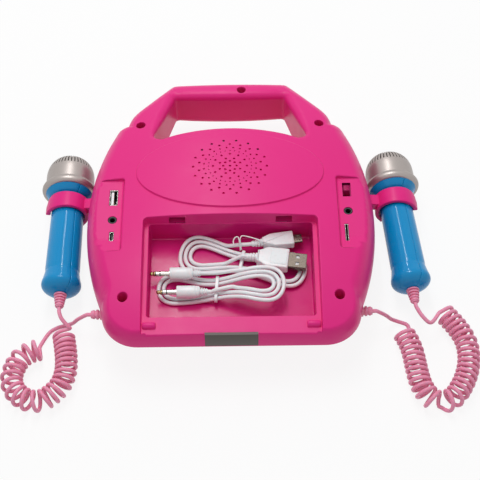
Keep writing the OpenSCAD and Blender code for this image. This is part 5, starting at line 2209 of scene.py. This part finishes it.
def stacked(
    width: float, length: float, radius: float, profile: Sequence[tuple[float, float]],
    steps: int = 5, caps: bool = True,
) -> Shape:
    """A form of rounded rectangles stacked along Z.

    Args:
        width: the size of the widest one along X.
        length: its size along Y.
        radius: the radius of its corners.
        profile: how far each rectangle is drawn in, and its height.
        steps: the number of steps round a corner.
        caps: whether the first and the last are filled.

    Returns:
        The form.
    """
    shape = Shape()
    loops = []
    for inset, z in profile:
        loop = rounded_rectangle(width - 2 * inset, length - 2 * inset, radius - inset, steps)
        loops.append([(x, y, z) for x, y in loop])
    shape.loft(loops, caps=caps)
    return shape


def shift(x: float, y: float, z: float = 0.0, turn_deg: float = 0.0) -> Matrix:
    """A matrix that turns a shape round Z and then moves it."""
    return Matrix.Translation((x, y, z)) @ Matrix.Rotation(math.radians(turn_deg), 4, "Z")


def joined(*shapes: Shape) -> Shape:
    """One shape of several."""
    out = Shape()
    for shape in shapes:
        out.add(shape.points, shape.faces)
    return out


@dataclass
class StrainRelief:
    """A ribbed sleeve of soft plastic on a cord's end."""

    name: str
    node: str
    body: Body
    place: Matrix
    length: float
    wide_r: float = 4.6
    tip_r: float = 3.2
    discs: int = 5
    rib_share: float = 0.62
    cord_r: float = 1.4
    edge: float = 0.3

    def build(self) -> bpy.types.Object:
        """Makes the sleeve.

        Returns:
            The piece.
        """
        core = self.tip_r - 0.5
        e = self.edge
        profile = [(core, -0.6)]
        for i in range(self.discs):
            low = self.length * i / self.discs
            high = low + self.length / self.discs * self.rib_share
            r = self.wide_r + (self.tip_r - self.wide_r) * i / (self.discs - 1)
            profile += [
                (core, low), (r - e, low), (r - e * 0.3, low + e * 0.3), (r, low + e),
                (r, high - e), (r - e * 0.3, high - e * 0.3), (r - e, high), (core, high),
            ]
        profile += [(core, self.length - 0.2), (core - 0.2, self.length), (self.cord_r, self.length)]
        shape = Shape.turned(profile, 48)
        return place_piece(self.name, shape.moved(self.place), CORD_PINK, self.body, (self.node,), 50)


def strain_reliefs() -> None:
    """Makes the four strain reliefs of the two curly cords."""
    for side in Side:
        mic = Microphone(side)
        flip = Matrix.Translation((0, 0, mic.tail_s)) @ Matrix.Rotation(math.pi, 4, "X")
        StrainRelief(
            f"microphone_relief_{side.word}", f"mic_grommet_{side.word}", mic.body,
            mic.place @ flip, 10.5,
        ).build()
        s = side.value
        place = Matrix.Translation((s * 85.18, -83.5, 24.0)) @ Matrix.Rotation(s * math.pi / 2, 4, "Y")
        StrainRelief(
            f"casing_relief_{side.word}", f"cord_grommet_{side.word}", Body.CASING, place, 13.5
        ).build()


@dataclass
class MicrophoneClip:
    """A sprung band round a handle, with rounded tips and a foot in the casing."""

    side: Side
    axis_x: float = 122.5
    shift: float = 0.619
    axis_z: float = 22.0
    middle_y: float = 8.5
    length: float = 13.0
    middle_r: float = 14.2
    thickness: float = 2.8
    bead: float = 1.8
    tip_deg: float = 12.0
    hook_deg: float = 228.0
    corner: float = 0.7
    foot_x: float = 96.0
    foot_half: float = 4.5
    beak: float = 15.0

    def build(self) -> None:
        """Makes the clip."""
        s = self.side.value
        x = self.axis_x + s * self.shift
        band = self._band().moved(
            Matrix.Translation((s * x, self.middle_y, self.axis_z)) @ Matrix.Scale(s, 4, (1, 0, 0))
        )
        word = self.side.word
        mesh = band.mesh(f"mic_clip_{word}")
        place_piece(f"clip_band_{word}", mesh, PINK, Body.CASING, (f"mic_clip_{word}",), 50)
        foot = Shape()
        profile = [
            (self.foot_x, 23.0), (x - 14.2, 23.0), (x - 14.0, 28.0), (x - 12.8, 30.4),
            (self.foot_x, 31.0),
        ]
        foot.loft(
            [
                [(s * q, self.middle_y + side * self.foot_half, z) for q, z in profile]
                for side in (-1, 1)
            ],
            caps=True,
        )
        foot_mesh = bevelled(foot.mesh(f"clip_foot_{word}"), 0.7, 3)
        place_piece(f"clip_foot_{word}", foot_mesh, PINK, Body.CASING, (), 40)

    def _band(self) -> Shape:
        """The band about the handle's axis, from the tip over the top to the hook.

        Returns:
            The shape.
        """
        r = self.middle_r
        start, end = math.radians(self.tip_deg) * r, math.radians(self.hook_deg) * r
        marks = []
        for t in (0, 5, 12, 20, 30, 42, 56, 72, 90):
            marks.append(start + self.bead * (0.22 - math.cos(math.radians(t))))
        count = 52
        marks += [start + 0.6 + (end - start - 1.2) * i / count for i in range(1, count)]
        marks += [end - (m - start) for m in reversed(marks[:9])]
        shape = Shape()
        loops = []
        for m in marks:
            d = min(m - start, end - m) - self.bead * 0.22
            low = -self.length / 2
            if d < 0:
                round_off = math.sqrt(max(1 - (d / self.bead) ** 2, 0))
                half = self.bead * max(round_off, 0.01)
                low += 2.0 * (1 - round_off)
            else:
                half = max(self.thickness / 2, math.sqrt(max(self.bead**2 - d * d, 0)))
            share = min(1.0, max(0.0, (m - start) / self.beak))
            high = self.length / 2 - 7.5 * (1 - math.sqrt(1 - (1 - share) ** 2))
            a = m / r
            loop = rounded_rectangle(2 * half, high - low, min(self.corner, half * 0.9), 4)
            middle = (high + low) / 2
            loops.append([((r + u) * math.cos(a), v + middle, (r + u) * math.sin(a)) for u, v in loop])
        shape.loft(loops, caps=True)
        return shape


@dataclass
class SocketGroup:
    """The sockets and the switch in the flats beside the tray."""

    face_z: float = 56.5
    board_z: float = 45.5
    x: float = 83.5
    usb_y: float = -6.0
    micro_y: float = -39.5
    left_jack_y: float = -25.4
    right_jack_y: float = -20.0
    card: tuple[float, float] = (81.5, -38.6)
    switch_y: float = -1.3

    def build(self) -> None:
        """Makes all of them."""
        self._metal_shell("usb_a_frame", "usb_socket", -self.x, self.usb_y, 5.7, 13.1, 0.8, 46.5)
        self._tongue()
        self._metal_shell(
            "micro_usb_frame", "micro_usb_socket", -self.x, self.micro_y, 2.9, 7.6, 1.1, 51.5
        )
        tongue = rounded_box(
            (-self.x - 0.35, self.micro_y - 2.5, 51.0), (-self.x + 0.35, self.micro_y + 2.5, 55.5), 0.12
        )
        place_piece("micro_usb_tongue", tongue, BLACK, Body.CASING)
        card_x, card_y = self.card
        self._metal_shell("card_slot_frame", "card_socket", card_x, card_y, 2.2, 14.6, 0.25, 47.5)
        for side, y in ((Side.LEFT, self.left_jack_y), (Side.RIGHT, self.right_jack_y)):
            self._jack(side, y)
        self._switch()

    def _metal_shell(
        self, name: str, node: str, x: float, y: float, width: float, length: float,
        radius: float, inner_low: float,
    ) -> None:
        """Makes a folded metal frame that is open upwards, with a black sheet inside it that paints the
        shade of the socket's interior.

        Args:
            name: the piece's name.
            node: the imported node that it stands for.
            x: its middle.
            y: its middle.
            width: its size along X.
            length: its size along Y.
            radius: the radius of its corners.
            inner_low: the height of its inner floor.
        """
        top = self.face_z - 0.3
        profile = [
            (0, self.board_z), (0, top - 0.12), (0.04, top - 0.03), (0.12, top), (0.26, top),
            (0.35, top - 0.05), (0.38, top - 0.14), (0.38, inner_low),
        ]
        shape = stacked(width, length, radius, profile).moved(shift(x, y))
        place_piece(name, shape, NICKEL, Body.CASING, (node,), 50)
        # black sheet inside the frame: painted shade of the socket's interior
        low = inner_low + 0.1
        shade_lining = stacked(
            width - 0.8, length - 0.8, radius, [(0, top - 0.7), (0, low), (width / 2 - 0.45, low)],
            caps=False,
        )
        place_piece(f"{name}_lining", shade_lining.moved(shift(x, y)), BLACK, Body.CASING)

    def _tongue(self) -> None:
        """Makes the white tongue of the large socket, with its contacts and side springs."""
        x = -self.x - 0.9
        tongue = rounded_box((x - 0.9, self.usb_y - 5.5, 46.4), (x + 0.9, self.usb_y + 5.5, 55.5), 0.2)
        place_piece("usb_a_tongue", tongue, PLUG_WHITE, Body.CASING, ("usb_socket_tongue",))
        contact = rounded_box((0, -0.5, -4.2), (0.14, 0.5, 4.0), 0.06, 2)
        places = [(x + 0.88, self.usb_y + y, 50.9) for y in (-3.5, -1.0, 1.0, 3.5)]
        scatter("usb_a_contacts", contact, places, GOLD, Body.CASING)
        spring = rounded_box((-0.22, -1.1, -2.4), (0.22, 1.1, 2.4), 0.18, 2)
        inner = 5.7 / 2 - 0.5
        places = [(-self.x + s * inner, self.usb_y + y, 53.0) for s in (-1, 1) for y in (-3.2, 3.2)]
        scatter("usb_a_springs", spring, places, NICKEL, Body.CASING)

    def _jack(self, side: Side, y: float) -> None:
        """Makes the round collar of a jack.

        Args:
            side: the side of the casing.
            y: its middle.
        """
        top = self.face_z - 0.3
        profile = [
            (3.0, self.board_z), (3.0, top - 0.2), (2.94, top - 0.06), (2.8, top), (2.15, top),
            (1.95, top - 0.12), (1.85, top - 0.35), (1.8, top - 0.6), (1.8, 47.0), (0.01, 46.8),
        ]
        shape = Shape.turned(profile, 48)
        name = f"jack_collar_{side.word}"
        place_piece(
            name, shape.moved(shift(side.value * self.x, y)), BLACK, Body.CASING,
            (f"jack_{side.word}",), 50,
        )

    def _switch(self) -> None:
        """Makes the slide switch: its housing and its ridged knob, in a darker pink that paints the shade of
        their sunk window.
        """
        top = self.face_z - 2.5
        profile = [(0, self.board_z), (0, top - 0.2), (0.2, top), (1.0, top), (1.0, self.board_z + 3)]
        housing = stacked(7, 13, 0.5, profile).moved(shift(self.x, self.switch_y))
        place_piece(
            "switch_housing_moulding", housing.mesh("switch_housing"), SWITCH_PINK_SHADED, Body.CASING,
            ("switch_housing",), 40,
        )
        low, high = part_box("switch_knob")
        x = (low[0] + high[0]) / 2 / MM
        y = (low[1] + high[1]) / 2 / MM
        z = high[2] / MM
        width, length = (high[0] - low[0]) / MM, (high[1] - low[1]) / MM
        knob = stacked(
            width, length, 0.3,
            [(0, low[2] / MM), (0, z - 0.9), (0.08, z - 0.55), (0.3, z - 0.4), (1.0, z - 0.4)],
        )
        place_piece(
            "switch_knob_moulding", knob.moved(shift(x, y)).mesh("switch_knob"), SWITCH_PINK_SHADED,
            Body.SWITCH, ("switch_knob",), 40,
        )
        ridge = rounded_box((-width / 2 + 0.3, -0.28, -0.3), (width / 2 - 0.3, 0.28, 0.4), 0.15, 2)
        places = [(x, y + 0.85 * k, z - 0.4) for k in (-2, -1, 0, 1, 2)]
        scatter("switch_knob_ridges", ridge, places, SWITCH_PINK_SHADED, Body.SWITCH)


@dataclass
class BaseDetails:
    """Small pieces of the casing: the hinge lugs and the bare rating label."""

    shell: BackShell
    lug_x: float = 55.5
    lug_y: float = -107.5
    lug_l: float = 9.0
    lug_h: float = 3.0
    lug_w: float = 4.5
    label_half: float = 18.0
    label_z: tuple[float, float] = (34.8, 49.6)

    def build(self) -> None:
        """Makes them."""
        self._lugs()
        self._label()

    def _lugs(self) -> None:
        """Makes the two rounded hinge lugs of the missing door."""
        z = float(self.shell.ledge(np.array([[0.0, self.lug_y]]))[0])
        r = self.lug_w / 2
        profile = [(-r - 0.5, z - 0.6), (-r - 0.15, z + 0.1)]
        profile += [
            (-r * math.cos(math.radians(a)), z + self.lug_h - r + r * math.sin(math.radians(a)))
            for a in range(0, 181, 15)
        ]
        profile += [(r + 0.15, z + 0.1), (r + 0.5, z - 0.6)]
        shape = Shape()
        for s in (-1, 1):
            rows = []
            half = self.lug_l / 2
            for u, inset in ((-1, 0.8), (-0.93, 0.25), (-0.8, 0.0), (0.8, 0.0), (0.93, 0.25), (1, 0.8)):
                rows.append(
                    [
                        (
                            s * self.lug_x + u * half, self.lug_y + y * (1 - inset / r * 0.5),
                            max(z - 0.6, h - inset) if h > z else h,
                        )
                        for y, h in profile
                    ]
                )
            shape.loft(rows, caps=True)
        mesh = shape.mesh("hinge_lugs")
        place_piece("hinge_lugs", mesh, PINK, Body.CASING, (), 60)

    def _wall_y(self, x: float, z: float) -> float:
        """Where the rolled base lies at a height.

        Args:
            x: the place across.
            z: the height.

        Returns:
            Its y.
        """
        base = self.shell.base_y
        crown = float(self.shell.crown(np.array([[x, base]]))[0])
        joint = self.shell.joint_z
        share = min(0.999, max(0.0, (z - joint) / (crown - joint)))
        width = float(self.shell.roll_width(np.array([base]))[0])
        return base + width * (1 - math.sqrt(1 - share * share))

    def _label(self) -> None:
        """Makes the bare rating label, which follows the roll of the base."""
        low, high = self.label_z
        for name, finish, start, gap, nodes in (
            ("rating_label_film", LABEL, low, 0.16, ("rating_label",)),
            ("rating_label_band", LABEL_BAND, high - 2.2, 0.19, ()),
        ):
            shape = Shape.lofted(
                [
                    [
                        (x, self._wall_y(x, z) - gap, z)
                        for x in np.linspace(-self.label_half, self.label_half, 19)
                    ]
                    for z in np.linspace(start, high, 13)
                ],
                closed=False,
            )
            place_piece(name, shape, finish, Body.CASING, nodes, 60)


def slab(outline: Sequence[tuple[float, float]], profile: Sequence[tuple[float, float]]) -> Shape:
    """A form with one outline in plan, drawn in row by row.

    Args:
        outline: the outline's corners, anticlockwise.
        profile: how far each row is drawn in, and its height.

    Returns:
        The form.
    """
    edge = Edge(spread_loop(np.array(outline, float), 1.0))
    shape = Shape.lofted([[(x, y, z) for x, y in edge.offset(-inset)] for inset, z in profile], caps=True)
    return shape


def pillow(half: float, edge: float, steps: int = 4) -> list[tuple[float, float]]:
    """The profile of a slab whose upper and lower edges are rounded."""
    turns = [math.radians(90 * i / steps) for i in range(steps + 1)]
    low = [(edge * (1 - math.sin(a)), -half + edge * (1 - math.cos(a))) for a in turns]
    return low + [(inset, -z) for inset, z in reversed(low)]


def mirrored(half_outline: Sequence[tuple[float, float]]) -> list[tuple[float, float]]:
    """A closed outline from the half of it that lies right of its axis, front to back."""
    lower = [(x, -y) for x, y in half_outline]
    return lower + [(x, y) for x, y in reversed(half_outline)]


def ribbed_neck(length: float, wide_r: float, tip_r: float, cord_r: float = 1.4) -> Shape:
    """A strain relief of four ribs that runs away along -X.

    Args:
        length: its length.
        wide_r: the radius of its first rib.
        tip_r: the radius of its last rib.
        cord_r: the radius of the cable.

    Returns:
        The form.
    """
    profile = [(tip_r - 0.4, -0.4)]
    for i in range(4):
        low, high = length * i / 4, length * (i + 1) / 4 - 0.6
        r = wide_r + (tip_r - wide_r) * i / 3
        profile += [
            (tip_r - 0.4, low), (r - 0.2, low), (r, low + 0.2), (r, high - 0.2), (r - 0.2, high),
            (tip_r - 0.4, high),
        ]
    profile += [(tip_r - 0.4, length), (cord_r, length)]
    shape = Shape.turned(profile, 40)
    return shape.moved(Matrix.Rotation(-math.pi / 2, 4, "Y"))


@dataclass
class ChargingCable:
    """The spare charging cable: its hank, two plugs and the twisted wire tie."""

    hank: Hank = field(default_factory=lambda: Hank(46, 9.8, 25, -11, (9, -52.4), 110, 1, 40.7, 0.0))
    big_at: tuple[float, float, float] = (18.5, -52.0, 46.2)
    big_deg: float = -8.0
    small_at: tuple[float, float, float] = (22.5, -39.0, 45.6)
    small_deg: float = 7.0
    neck: float = 8.0
    diameter: float = 2.8
    tie_top: float = 44.8

    def _end(self, at: tuple[float, float, float], deg: float, d: float) -> Vec:
        """A point on the cable behind a plug."""
        a = math.radians(deg)
        return vec(*at) - (self.neck + d) * vec(math.cos(a), math.sin(a), 0)

    def path(self) -> list[Vec]:
        """The cable's centreline from the small plug to the big one.

        Returns:
            The points.
        """
        small, big = (self.small_at, self.small_deg), (self.big_at, self.big_deg)
        points = [
            self._end(*small, 0), self._end(*small, self.diameter), vec(6.5, -40, self.tie_top),
            vec(1, -39, self.tie_top - 2.6), *self.hank.path(), vec(1.5, -52, self.tie_top - 1),
            self._end(*big, self.diameter), self._end(*big, 0),
        ]
        return smooth(points, 4)

    def build(self) -> None:
        """Makes the cable and what is on it."""
        points = self.path()
        mesh = sweep_tube(points, self.diameter / 2, 14).mesh("charging_lead", 0.0005)
        lead = place_piece("charging_lead", mesh, CABLE_WHITE, Body.CHARGING, ("usb_cable",))
        ends = [*self._big_plug(), *self._small_plug(), *self._tie()]

    def _big_plug(self) -> list[bpy.types.Object]:
        """Makes the large plug.

        Returns:
            Its pieces.
        """
        x, y, z = self.big_at
        place = shift(x, y, z, self.big_deg)
        half = [
            (22.0, 7.3), (21.4, 7.9), (20.5, 8.0), (8.0, 8.0), (6.6, 7.8), (5.4, 7.2), (3.4, 5.9),
            (1.6, 5.0), (0.0, 4.7),
        ]
        outline = mirrored(list(reversed(half)))
        panel = stacked(11.5, 11.5, 0.8, [(0, 3.5), (0, 3.92), (0.14, 4.05)]).moved(shift(15.0, 0))
        body = joined(slab(outline, pillow(3.8, 1.1)), panel, ribbed_neck(self.neck, 3.4, 2.4))
        grip = place_piece(
            "large_plug_grip", body.moved(place), PLUG_WHITE, Body.CHARGING, ("usb_plug_body",), 40
        )
        shell = place_piece(
            "large_plug_shell", self._folded_shell().moved(place),
            NICKEL_PAINTED_DARK, Body.CHARGING, ("usb_plug_shell",), 40,
        )
        inner = rounded_box((21.5, -5.5, -1.8), (33.9, 5.5, 0.1), 0.15, 2)
        block = rounded_box((21.5, -5.4, -1.8), (31.0, 5.4, 1.4), 0.15, 2)
        core = place_piece(
            "large_plug_core", joined(inner, block).moved(place), PLUG_WHITE, Body.CHARGING
        )
        return [grip, shell, core]

    def _folded_shell(self) -> Shape:
        """The plug's folded metal sheath, with two square windows in its upper side.

        Returns:
            The form.
        """
        front, wall, r = 34.5, 0.32, 0.6
        section = rounded_rectangle(4.5, 12.0, r, 4)
        inner = rounded_rectangle(4.5 - 2 * wall, 12.0 - 2 * wall, r - wall, 4)
        top = 2.25
        shape = Shape()
        rows = []
        for loop, x in ((section, 22.0), (section, front - 0.12), (inner, front), (inner, 22.2)):
            rows.append([(x, v, u) for u, v in loop])
        n = len(section)
        flat = [i for i in range(n) if abs(section[i][0] - top) < 1e-6]
        faces = []
        for k in range(3):
            for i in range(n):
                j = (i + 1) % n
                upper = i in flat and j in flat
                if upper and k in (0, 2):
                    continue
                faces.append((k * n + i, k * n + j, (k + 1) * n + j, (k + 1) * n + i))
        shape.add([p for row in rows for p in row], faces)
        reach = 6.0 - r
        xs = (22.0, 27.0, 29.4, front - 0.12)
        ys = (-reach, -4.0, -1.6, 1.5, 3.9, reach)
        for z in (top, top - wall):
            for i in range(3):
                for j in range(5):
                    if i == 1 and j in (1, 3):
                        continue
                    shape.add(
                        [(xs[i], ys[j], z), (xs[i + 1], ys[j], z), (xs[i + 1], ys[j + 1], z),
                         (xs[i], ys[j + 1], z)],
                        [(0, 1, 2, 3)],
                    )
        for j in (1, 3):
            loop = [(27.0, ys[j]), (29.4, ys[j]), (29.4, ys[j + 1]), (27.0, ys[j + 1])]
            shape.loft([[(x, y, z) for x, y in loop] for z in (top, top - wall)])
        return shape

    def _small_plug(self) -> list[bpy.types.Object]:
        """Makes the small plug.

        Returns:
            Its pieces.
        """
        x, y, z = self.small_at
        place = shift(x, y, z, self.small_deg)
        half = [
            (0.0, 2.9), (1.2, 3.2), (3.4, 4.2), (5.6, 5.0), (8.0, 5.3), (20.6, 5.6), (21.6, 5.5),
            (22.0, 5.0),
        ]
        body = joined(slab(mirrored(half), pillow(3.2, 0.9)), ribbed_neck(self.neck, 2.9, 2.2))
        grip = place_piece(
            "small_plug_grip", body.moved(place), PLUG_WHITE, Body.CHARGING, ("micro_plug_body",), 40
        )
        sheath = stacked(
            1.8, 6.8, 0.6, [(0, 21.6), (0, 27.9), (0.1, 28.0), (0.3, 28.0), (0.32, 27.9), (0.32, 24.0)]
        )
        lay_down = place @ Matrix.Rotation(math.pi / 2, 4, "Y")
        latch = [
            rounded_box((24.6, y - 0.45, 0.6), (26.6, y + 0.45, 1.12), 0.2, 2) for y in (-1.9, 1.9)
        ]
        metal = joined(sheath.moved(lay_down), joined(*latch).moved(place))
        shell = place_piece(
            "small_plug_shell", metal, NICKEL_PAINTED_DARK, Body.CHARGING, ("micro_plug_shell",), 40
        )
        return [grip, shell]

    def _tie(self) -> list[bpy.types.Object]:
        """Makes the tie: a band round the strands, its twist and its two free ends.

        Returns:
            Its pieces.
        """
        x, y = self.hank.middle
        band = tie_band(19.0, 3.2).moved(shift(x - 1.5, y + 0.4, 40.7, self.hank.slant_deg))
        band_piece = place_piece("charging_tie", band, PLUG_WHITE, Body.CHARGING, ("usb_tie",), 40)
        twist = twisted_pair(vec(7.0, -43.6, 43.6), vec(6.1, -38.6, 49.6), 0.42, 3.5)
        left = [twist[0][-1], *route(
            ((5.0, -36.9, 50.1), (2.9, -37.2, 49.6), (1.7, -39.6, 48.6), (2.4, -42.2, 47.6)))]
        right = [twist[1][-1], *route(
            ((7.6, -36.6, 50.6), (11.2, -36.7, 50.4), (18.0, -38.8, 50.0), (25.0, -41.6, 49.75),
             (30.5, -43.0, 49.75)))]
        wires = joined(
            sweep_tube(smooth([*twist[0], *left[1:]], 3), 0.42, 8),
            sweep_tube(smooth([*twist[1], *right[1:]], 3), 0.42, 8),
        )
        ends = place_piece("charging_tie_ends", wires, PLUG_WHITE, Body.CHARGING)
        return [band_piece, ends]


def tie_band(width: float, height: float, wall: float = 0.8, along: float = 2.2) -> Shape:
    """A tie's band round flat strands, which it surrounds in the YZ plane.

    Args:
        width: its inner width along Y.
        height: its inner height along Z.
        wall: its thickness.
        along: its size along X.

    Returns:
        The form.
    """
    shape = Shape()
    rows = []
    for x, grow in ((-along / 2, 0.1), (-along / 2, wall - 0.3), (-along / 2 + 0.3, wall),
                    (along / 2 - 0.3, wall), (along / 2, wall - 0.3), (along / 2, 0.1),
                    (along / 2 - 0.2, 0.0), (-along / 2 + 0.2, 0.0), (-along / 2, 0.1)):
        loop = rounded_rectangle(width + 2 * grow, height + 2 * grow, height / 2 + grow - 0.02, 8)
        rows.append([(x, y - 0.9, z) for y, z in loop])
    shape.loft(rows)
    return shape


def twisted_pair(low: Vec, high: Vec, radius: float, turns: float) -> tuple[list[Vec], list[Vec]]:
    """Two wires twisted about each other.

    Args:
        low: where the twist starts.
        high: where it ends.
        radius: the radius of the helix.
        turns: the number of turns.

    Returns:
        The points of the two wires.
    """
    way = unit(high - low)
    side = unit(np.cross(way, vec(0, 0, 1)))
    up = np.cross(way, side)
    wires: tuple[list[Vec], list[Vec]] = ([], [])
    count = round(turns * 10)
    for i in range(count + 1):
        a = 2 * math.pi * turns * i / count
        middle = low + (high - low) * i / count
        for wire, phase in zip(wires, (0.0, math.pi)):
            offset = radius * (math.cos(a + phase) * side + math.sin(a + phase) * up)
            wire.append(middle + offset)
    return wires


@dataclass
class AudioCable:
    """The spare audio cable: its hank, two pin plugs and the tie."""

    hank: Hank = field(default_factory=lambda: Hank(45, 9.8, 20, -4, (-8, -75), 70, -1, 39.7, 12.0))
    plugs: tuple[tuple[float, float, float], ...] = ((-27, -65, 47.1), (-22, -80, 47.1))
    diameter: float = 2.8
    grip_l: float = 15.5
    grip_r: float = 4.4
    neck: float = 6.0
    pin_r: float = 1.75
    tail_z: float = 48.13

    def path(self) -> list[Vec]:
        """The cable's centreline from plug to plug.

        Returns:
            The points.
        """
        a, b = (vec(*p) for p in self.plugs)
        reach, more = vec(self.neck, 0, 0), vec(self.diameter, 0, 0)
        t = self.tail_z
        points = [
            a + reach, a + reach + more, vec(-10, -65.5, t), vec(0, -65, t + 1.6), *self.hank.path(),
            vec(0, -78, t + 1.8), vec(-10.6, -79.7, t + 0.5), b + reach + more, b + reach,
        ]
        return smooth(points, 4)

    def build(self) -> None:
        """Makes the cable and what is on it."""
        points = self.path()
        mesh = sweep_tube(points, self.diameter / 2, 14).mesh("audio_lead", 0.0005)
        lead = place_piece("audio_lead", mesh, CABLE_WHITE, Body.AUDIO, ("aux_cable",))
        ends = [*self._plugs(), self._tie()]

    def _turned(self, profile: Sequence[tuple[float, float]]) -> Shape:
        """One form turned about both plugs' axes, towards -X.

        Args:
            profile: the radius, and the distance from the plug's neck.

        Returns:
            The form, twice.
        """
        one = Shape.turned(profile, 40)
        lay_down = Matrix.Rotation(-math.pi / 2, 4, "Y")
        return joined(*(one.moved(shift(*p) @ lay_down) for p in self.plugs))

    def _plugs(self) -> list[bpy.types.Object]:
        """Makes the two plugs.

        Returns:
            Their pieces.
        """
        r, l = self.grip_r, self.grip_l
        grip = [
            (0.1, -0.3), (r - 0.6, -0.3), (r - 0.35, 0.0), (r - 0.3, 0.6), (r - 0.55, 0.9),
            (r - 0.3, 1.2), (r - 0.2, 2.0), (r - 0.42, 2.3), (r - 0.1, 2.7), (r, 3.4),
            (r, l - 0.6), (r - 0.12, l - 0.25), (r - 0.45, l), (0.1, l),
        ]
        neck = ribbed_neck(self.neck, 3.2, 2.3)
        flip = Matrix.Rotation(math.pi, 4, "Z")
        body = joined(self._turned(grip), *(neck.moved(shift(*p) @ flip) for p in self.plugs))
        p = self.pin_r
        first = [(0.1, l - 0.2), (2.3, l - 0.2), (2.3, l + 0.35), (p, l + 0.5), (p, l + 6.3)]
        middle = [(p, l + 7.1), (p, l + 9.4)]
        rings = [(p - 0.05, l + 6.2), (p - 0.05, l + 10.3)]
        tip = [
            (p, l + 10.2), (p, l + 10.9), (1.25, l + 11.6), (1.2, l + 12.0), (1.6, l + 12.6),
            (1.55, l + 12.9), (0.8, l + 13.8), (0.5, l + 14.0), (0.02, l + 14.0),
        ]
        made = []
        for name, shape, finish, nodes in (
            ("pin_plug_grips", body, PLUG_WHITE, ("aux_plug_bodies",)),
            ("pin_plug_pins", joined(self._turned(first), self._turned(middle)), NICKEL,
             ("aux_plug_pins",)),
            ("pin_plug_rings", self._turned(rings), BLACK, ()),
            ("pin_plug_tips", self._turned(tip), GOLD, ()),
        ):
            made.append(place_piece(name, shape, finish, Body.AUDIO, nodes, 50))
        return made

    def _tie(self) -> bpy.types.Object:
        """Makes the tie.

        Returns:
            The piece.
        """
        x, y = self.hank.middle
        z = self.hank.low + self.hank.rise * ease(
            (x - 2 - self.hank.foot_x) / (self.hank.crest_x - self.hank.foot_x)
        )
        band = tie_band(19.0, 4.8).moved(shift(x - 2, y + 0.2, z, self.hank.slant_deg))
        return place_piece("audio_tie", band, PLUG_WHITE, Body.AUDIO, ("aux_tie",))


BOARD = Finish(
    "solder_mask_green", "circuit_board", "#1f7a4a", roughness=0.35, grain_mm=0.6,
    grain_strength=0.3, colour_drift=0.12, drift_mm=3,
)
SLEEVE = Finish(
    "shrink_sleeve_blue", "battery_sleeve", "#2b6cb0", roughness=0.3, grain_mm=3,
    grain_depth_mm=0.05, grain_strength=0.3, colour_drift=0.05, drift_mm=8,
)
DIFFUSER = Finish(
    "milky_diffuser", "ring_diffuser", "#eceff2", roughness=0.4, grain_mm=0.8,
    grain_strength=0.1, colour_drift=0.02, soft_depth_mm=2.0,
)


@dataclass
class FrontFittings:
    """The milky ring and the buttons of the hidden front."""

    shell: FrontShell
    ring_in: float = 34.2
    ring_out: float = 41.0
    panel_z: float = 2.0
    button_names: tuple[str, ...] = ("previous", "play", "next", "volume_down", "mode", "volume_up")

    def build(self) -> None:
        """Makes them."""
        self._ring()
        for name, spot in zip(self.button_names, self.shell.buttons):
            self._button(name, spot)

    def _ring(self) -> None:
        """Makes the ring, with a rounded face."""
        z = self.panel_z
        low, high = self.ring_in, self.ring_out
        profile = [(low, z + 2.4), (low, z + 0.4)]
        turns = (0.4, 0.9, 1.57)
        profile += [(low + 0.4 * (1 - math.cos(a)), z + 0.4 - 0.4 * math.sin(a)) for a in turns]
        profile += [(high - 0.4 * (1 - math.cos(a)), z + 0.4 - 0.4 * math.sin(a)) for a in turns[::-1]]
        profile += [(high, z + 0.4), (high, z + 2.4), (44.0, z + 2.4), (44.0, z + 4.4), (30.0, z + 4.4)]
        shape = Shape.turned(profile, 144)
        mesh = shape.moved(shift(0, self.shell.speaker_y)).mesh("light_ring")
        place_piece("milky_light_ring", mesh, DIFFUSER, Body.CASING, ("light_ring",), 50)

    def _button(self, name: str, spot: tuple[float, float]) -> None:
        """Makes one push button with a dished face.

        Args:
            name: what it does.
            spot: its middle.
        """
        r = self.shell.button_r
        z = self.panel_z - 1.0
        profile = [(0.01, z + 0.45), (r * 0.5, z + 0.35), (r - 1.2, z + 0.06), (r - 0.8, z)]
        profile += [
            (r - 0.8 + 0.8 * math.sin(math.radians(a)), z + 0.8 - 0.8 * math.cos(math.radians(a)))
            for a in (30, 60, 90)
        ]
        profile += [(r, z + 3.9), (r + 1.2, z + 3.9), (r + 1.2, z + 5.1)]
        profile += [(2.0, z + 5.1), (2.0, 9.3), (0.01, 9.3)]
        shape = Shape.turned(profile, 64)
        piece = place_piece(
            f"push_{name}_cap", shape.moved(shift(*spot)).mesh(f"button_{name}"), PLUG_WHITE, None,
            (f"button_{name}",), 50,
        )
        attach(piece, f"push_{name}")


CARRIED_OVER: dict[str, Finish] = {
    "pink_shell": PINK, "black_plastic": BLACK, "ring_diffuser": DIFFUSER, "circuit_board": BOARD,
    "battery_sleeve": SLEEVE, "steel": NICKEL, "white_plastic": PLUG_WHITE, "white_cable": CABLE_WHITE,
    "label_film": LABEL, "cord_pink": CORD_PINK, "mic_blue": BLUE, "head_silver": SILVER,
}


def dress_carried_over() -> None:
    """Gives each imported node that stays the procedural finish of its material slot."""
    for piece in bpy.context.scene.objects:
        if piece.type != "MESH":
            continue
        for holder in piece.material_slots:
            known = holder.material and CARRIED_OVER.get(holder.material.name.split(".")[0])
            if known:
                holder.material = known.build()


def main() -> None:
    """Builds the studio and the cords, then the shells and all that sits on them."""
    studio = Studio()
    studio.camera()
    studio.light()
    studio.floor()
    for cord in (LEFT_CORD, RIGHT_CORD):
        cord.build()
    ChargingCable().build()
    AudioCable().build()
    back, front = BackShell(), FrontShell()
    back.build()
    front.build()
    BaseDetails(back).build()
    FrontFittings(front).build()
    SocketGroup().build()
    for side in Side:
        Microphone(side).build()
        MicrophoneClip(side).build()
    strain_reliefs()
    dress_carried_over()


if __name__ == "__main__":
    logging.basicConfig(level=logging.INFO, format="%(name)s: %(message)s")
    main()
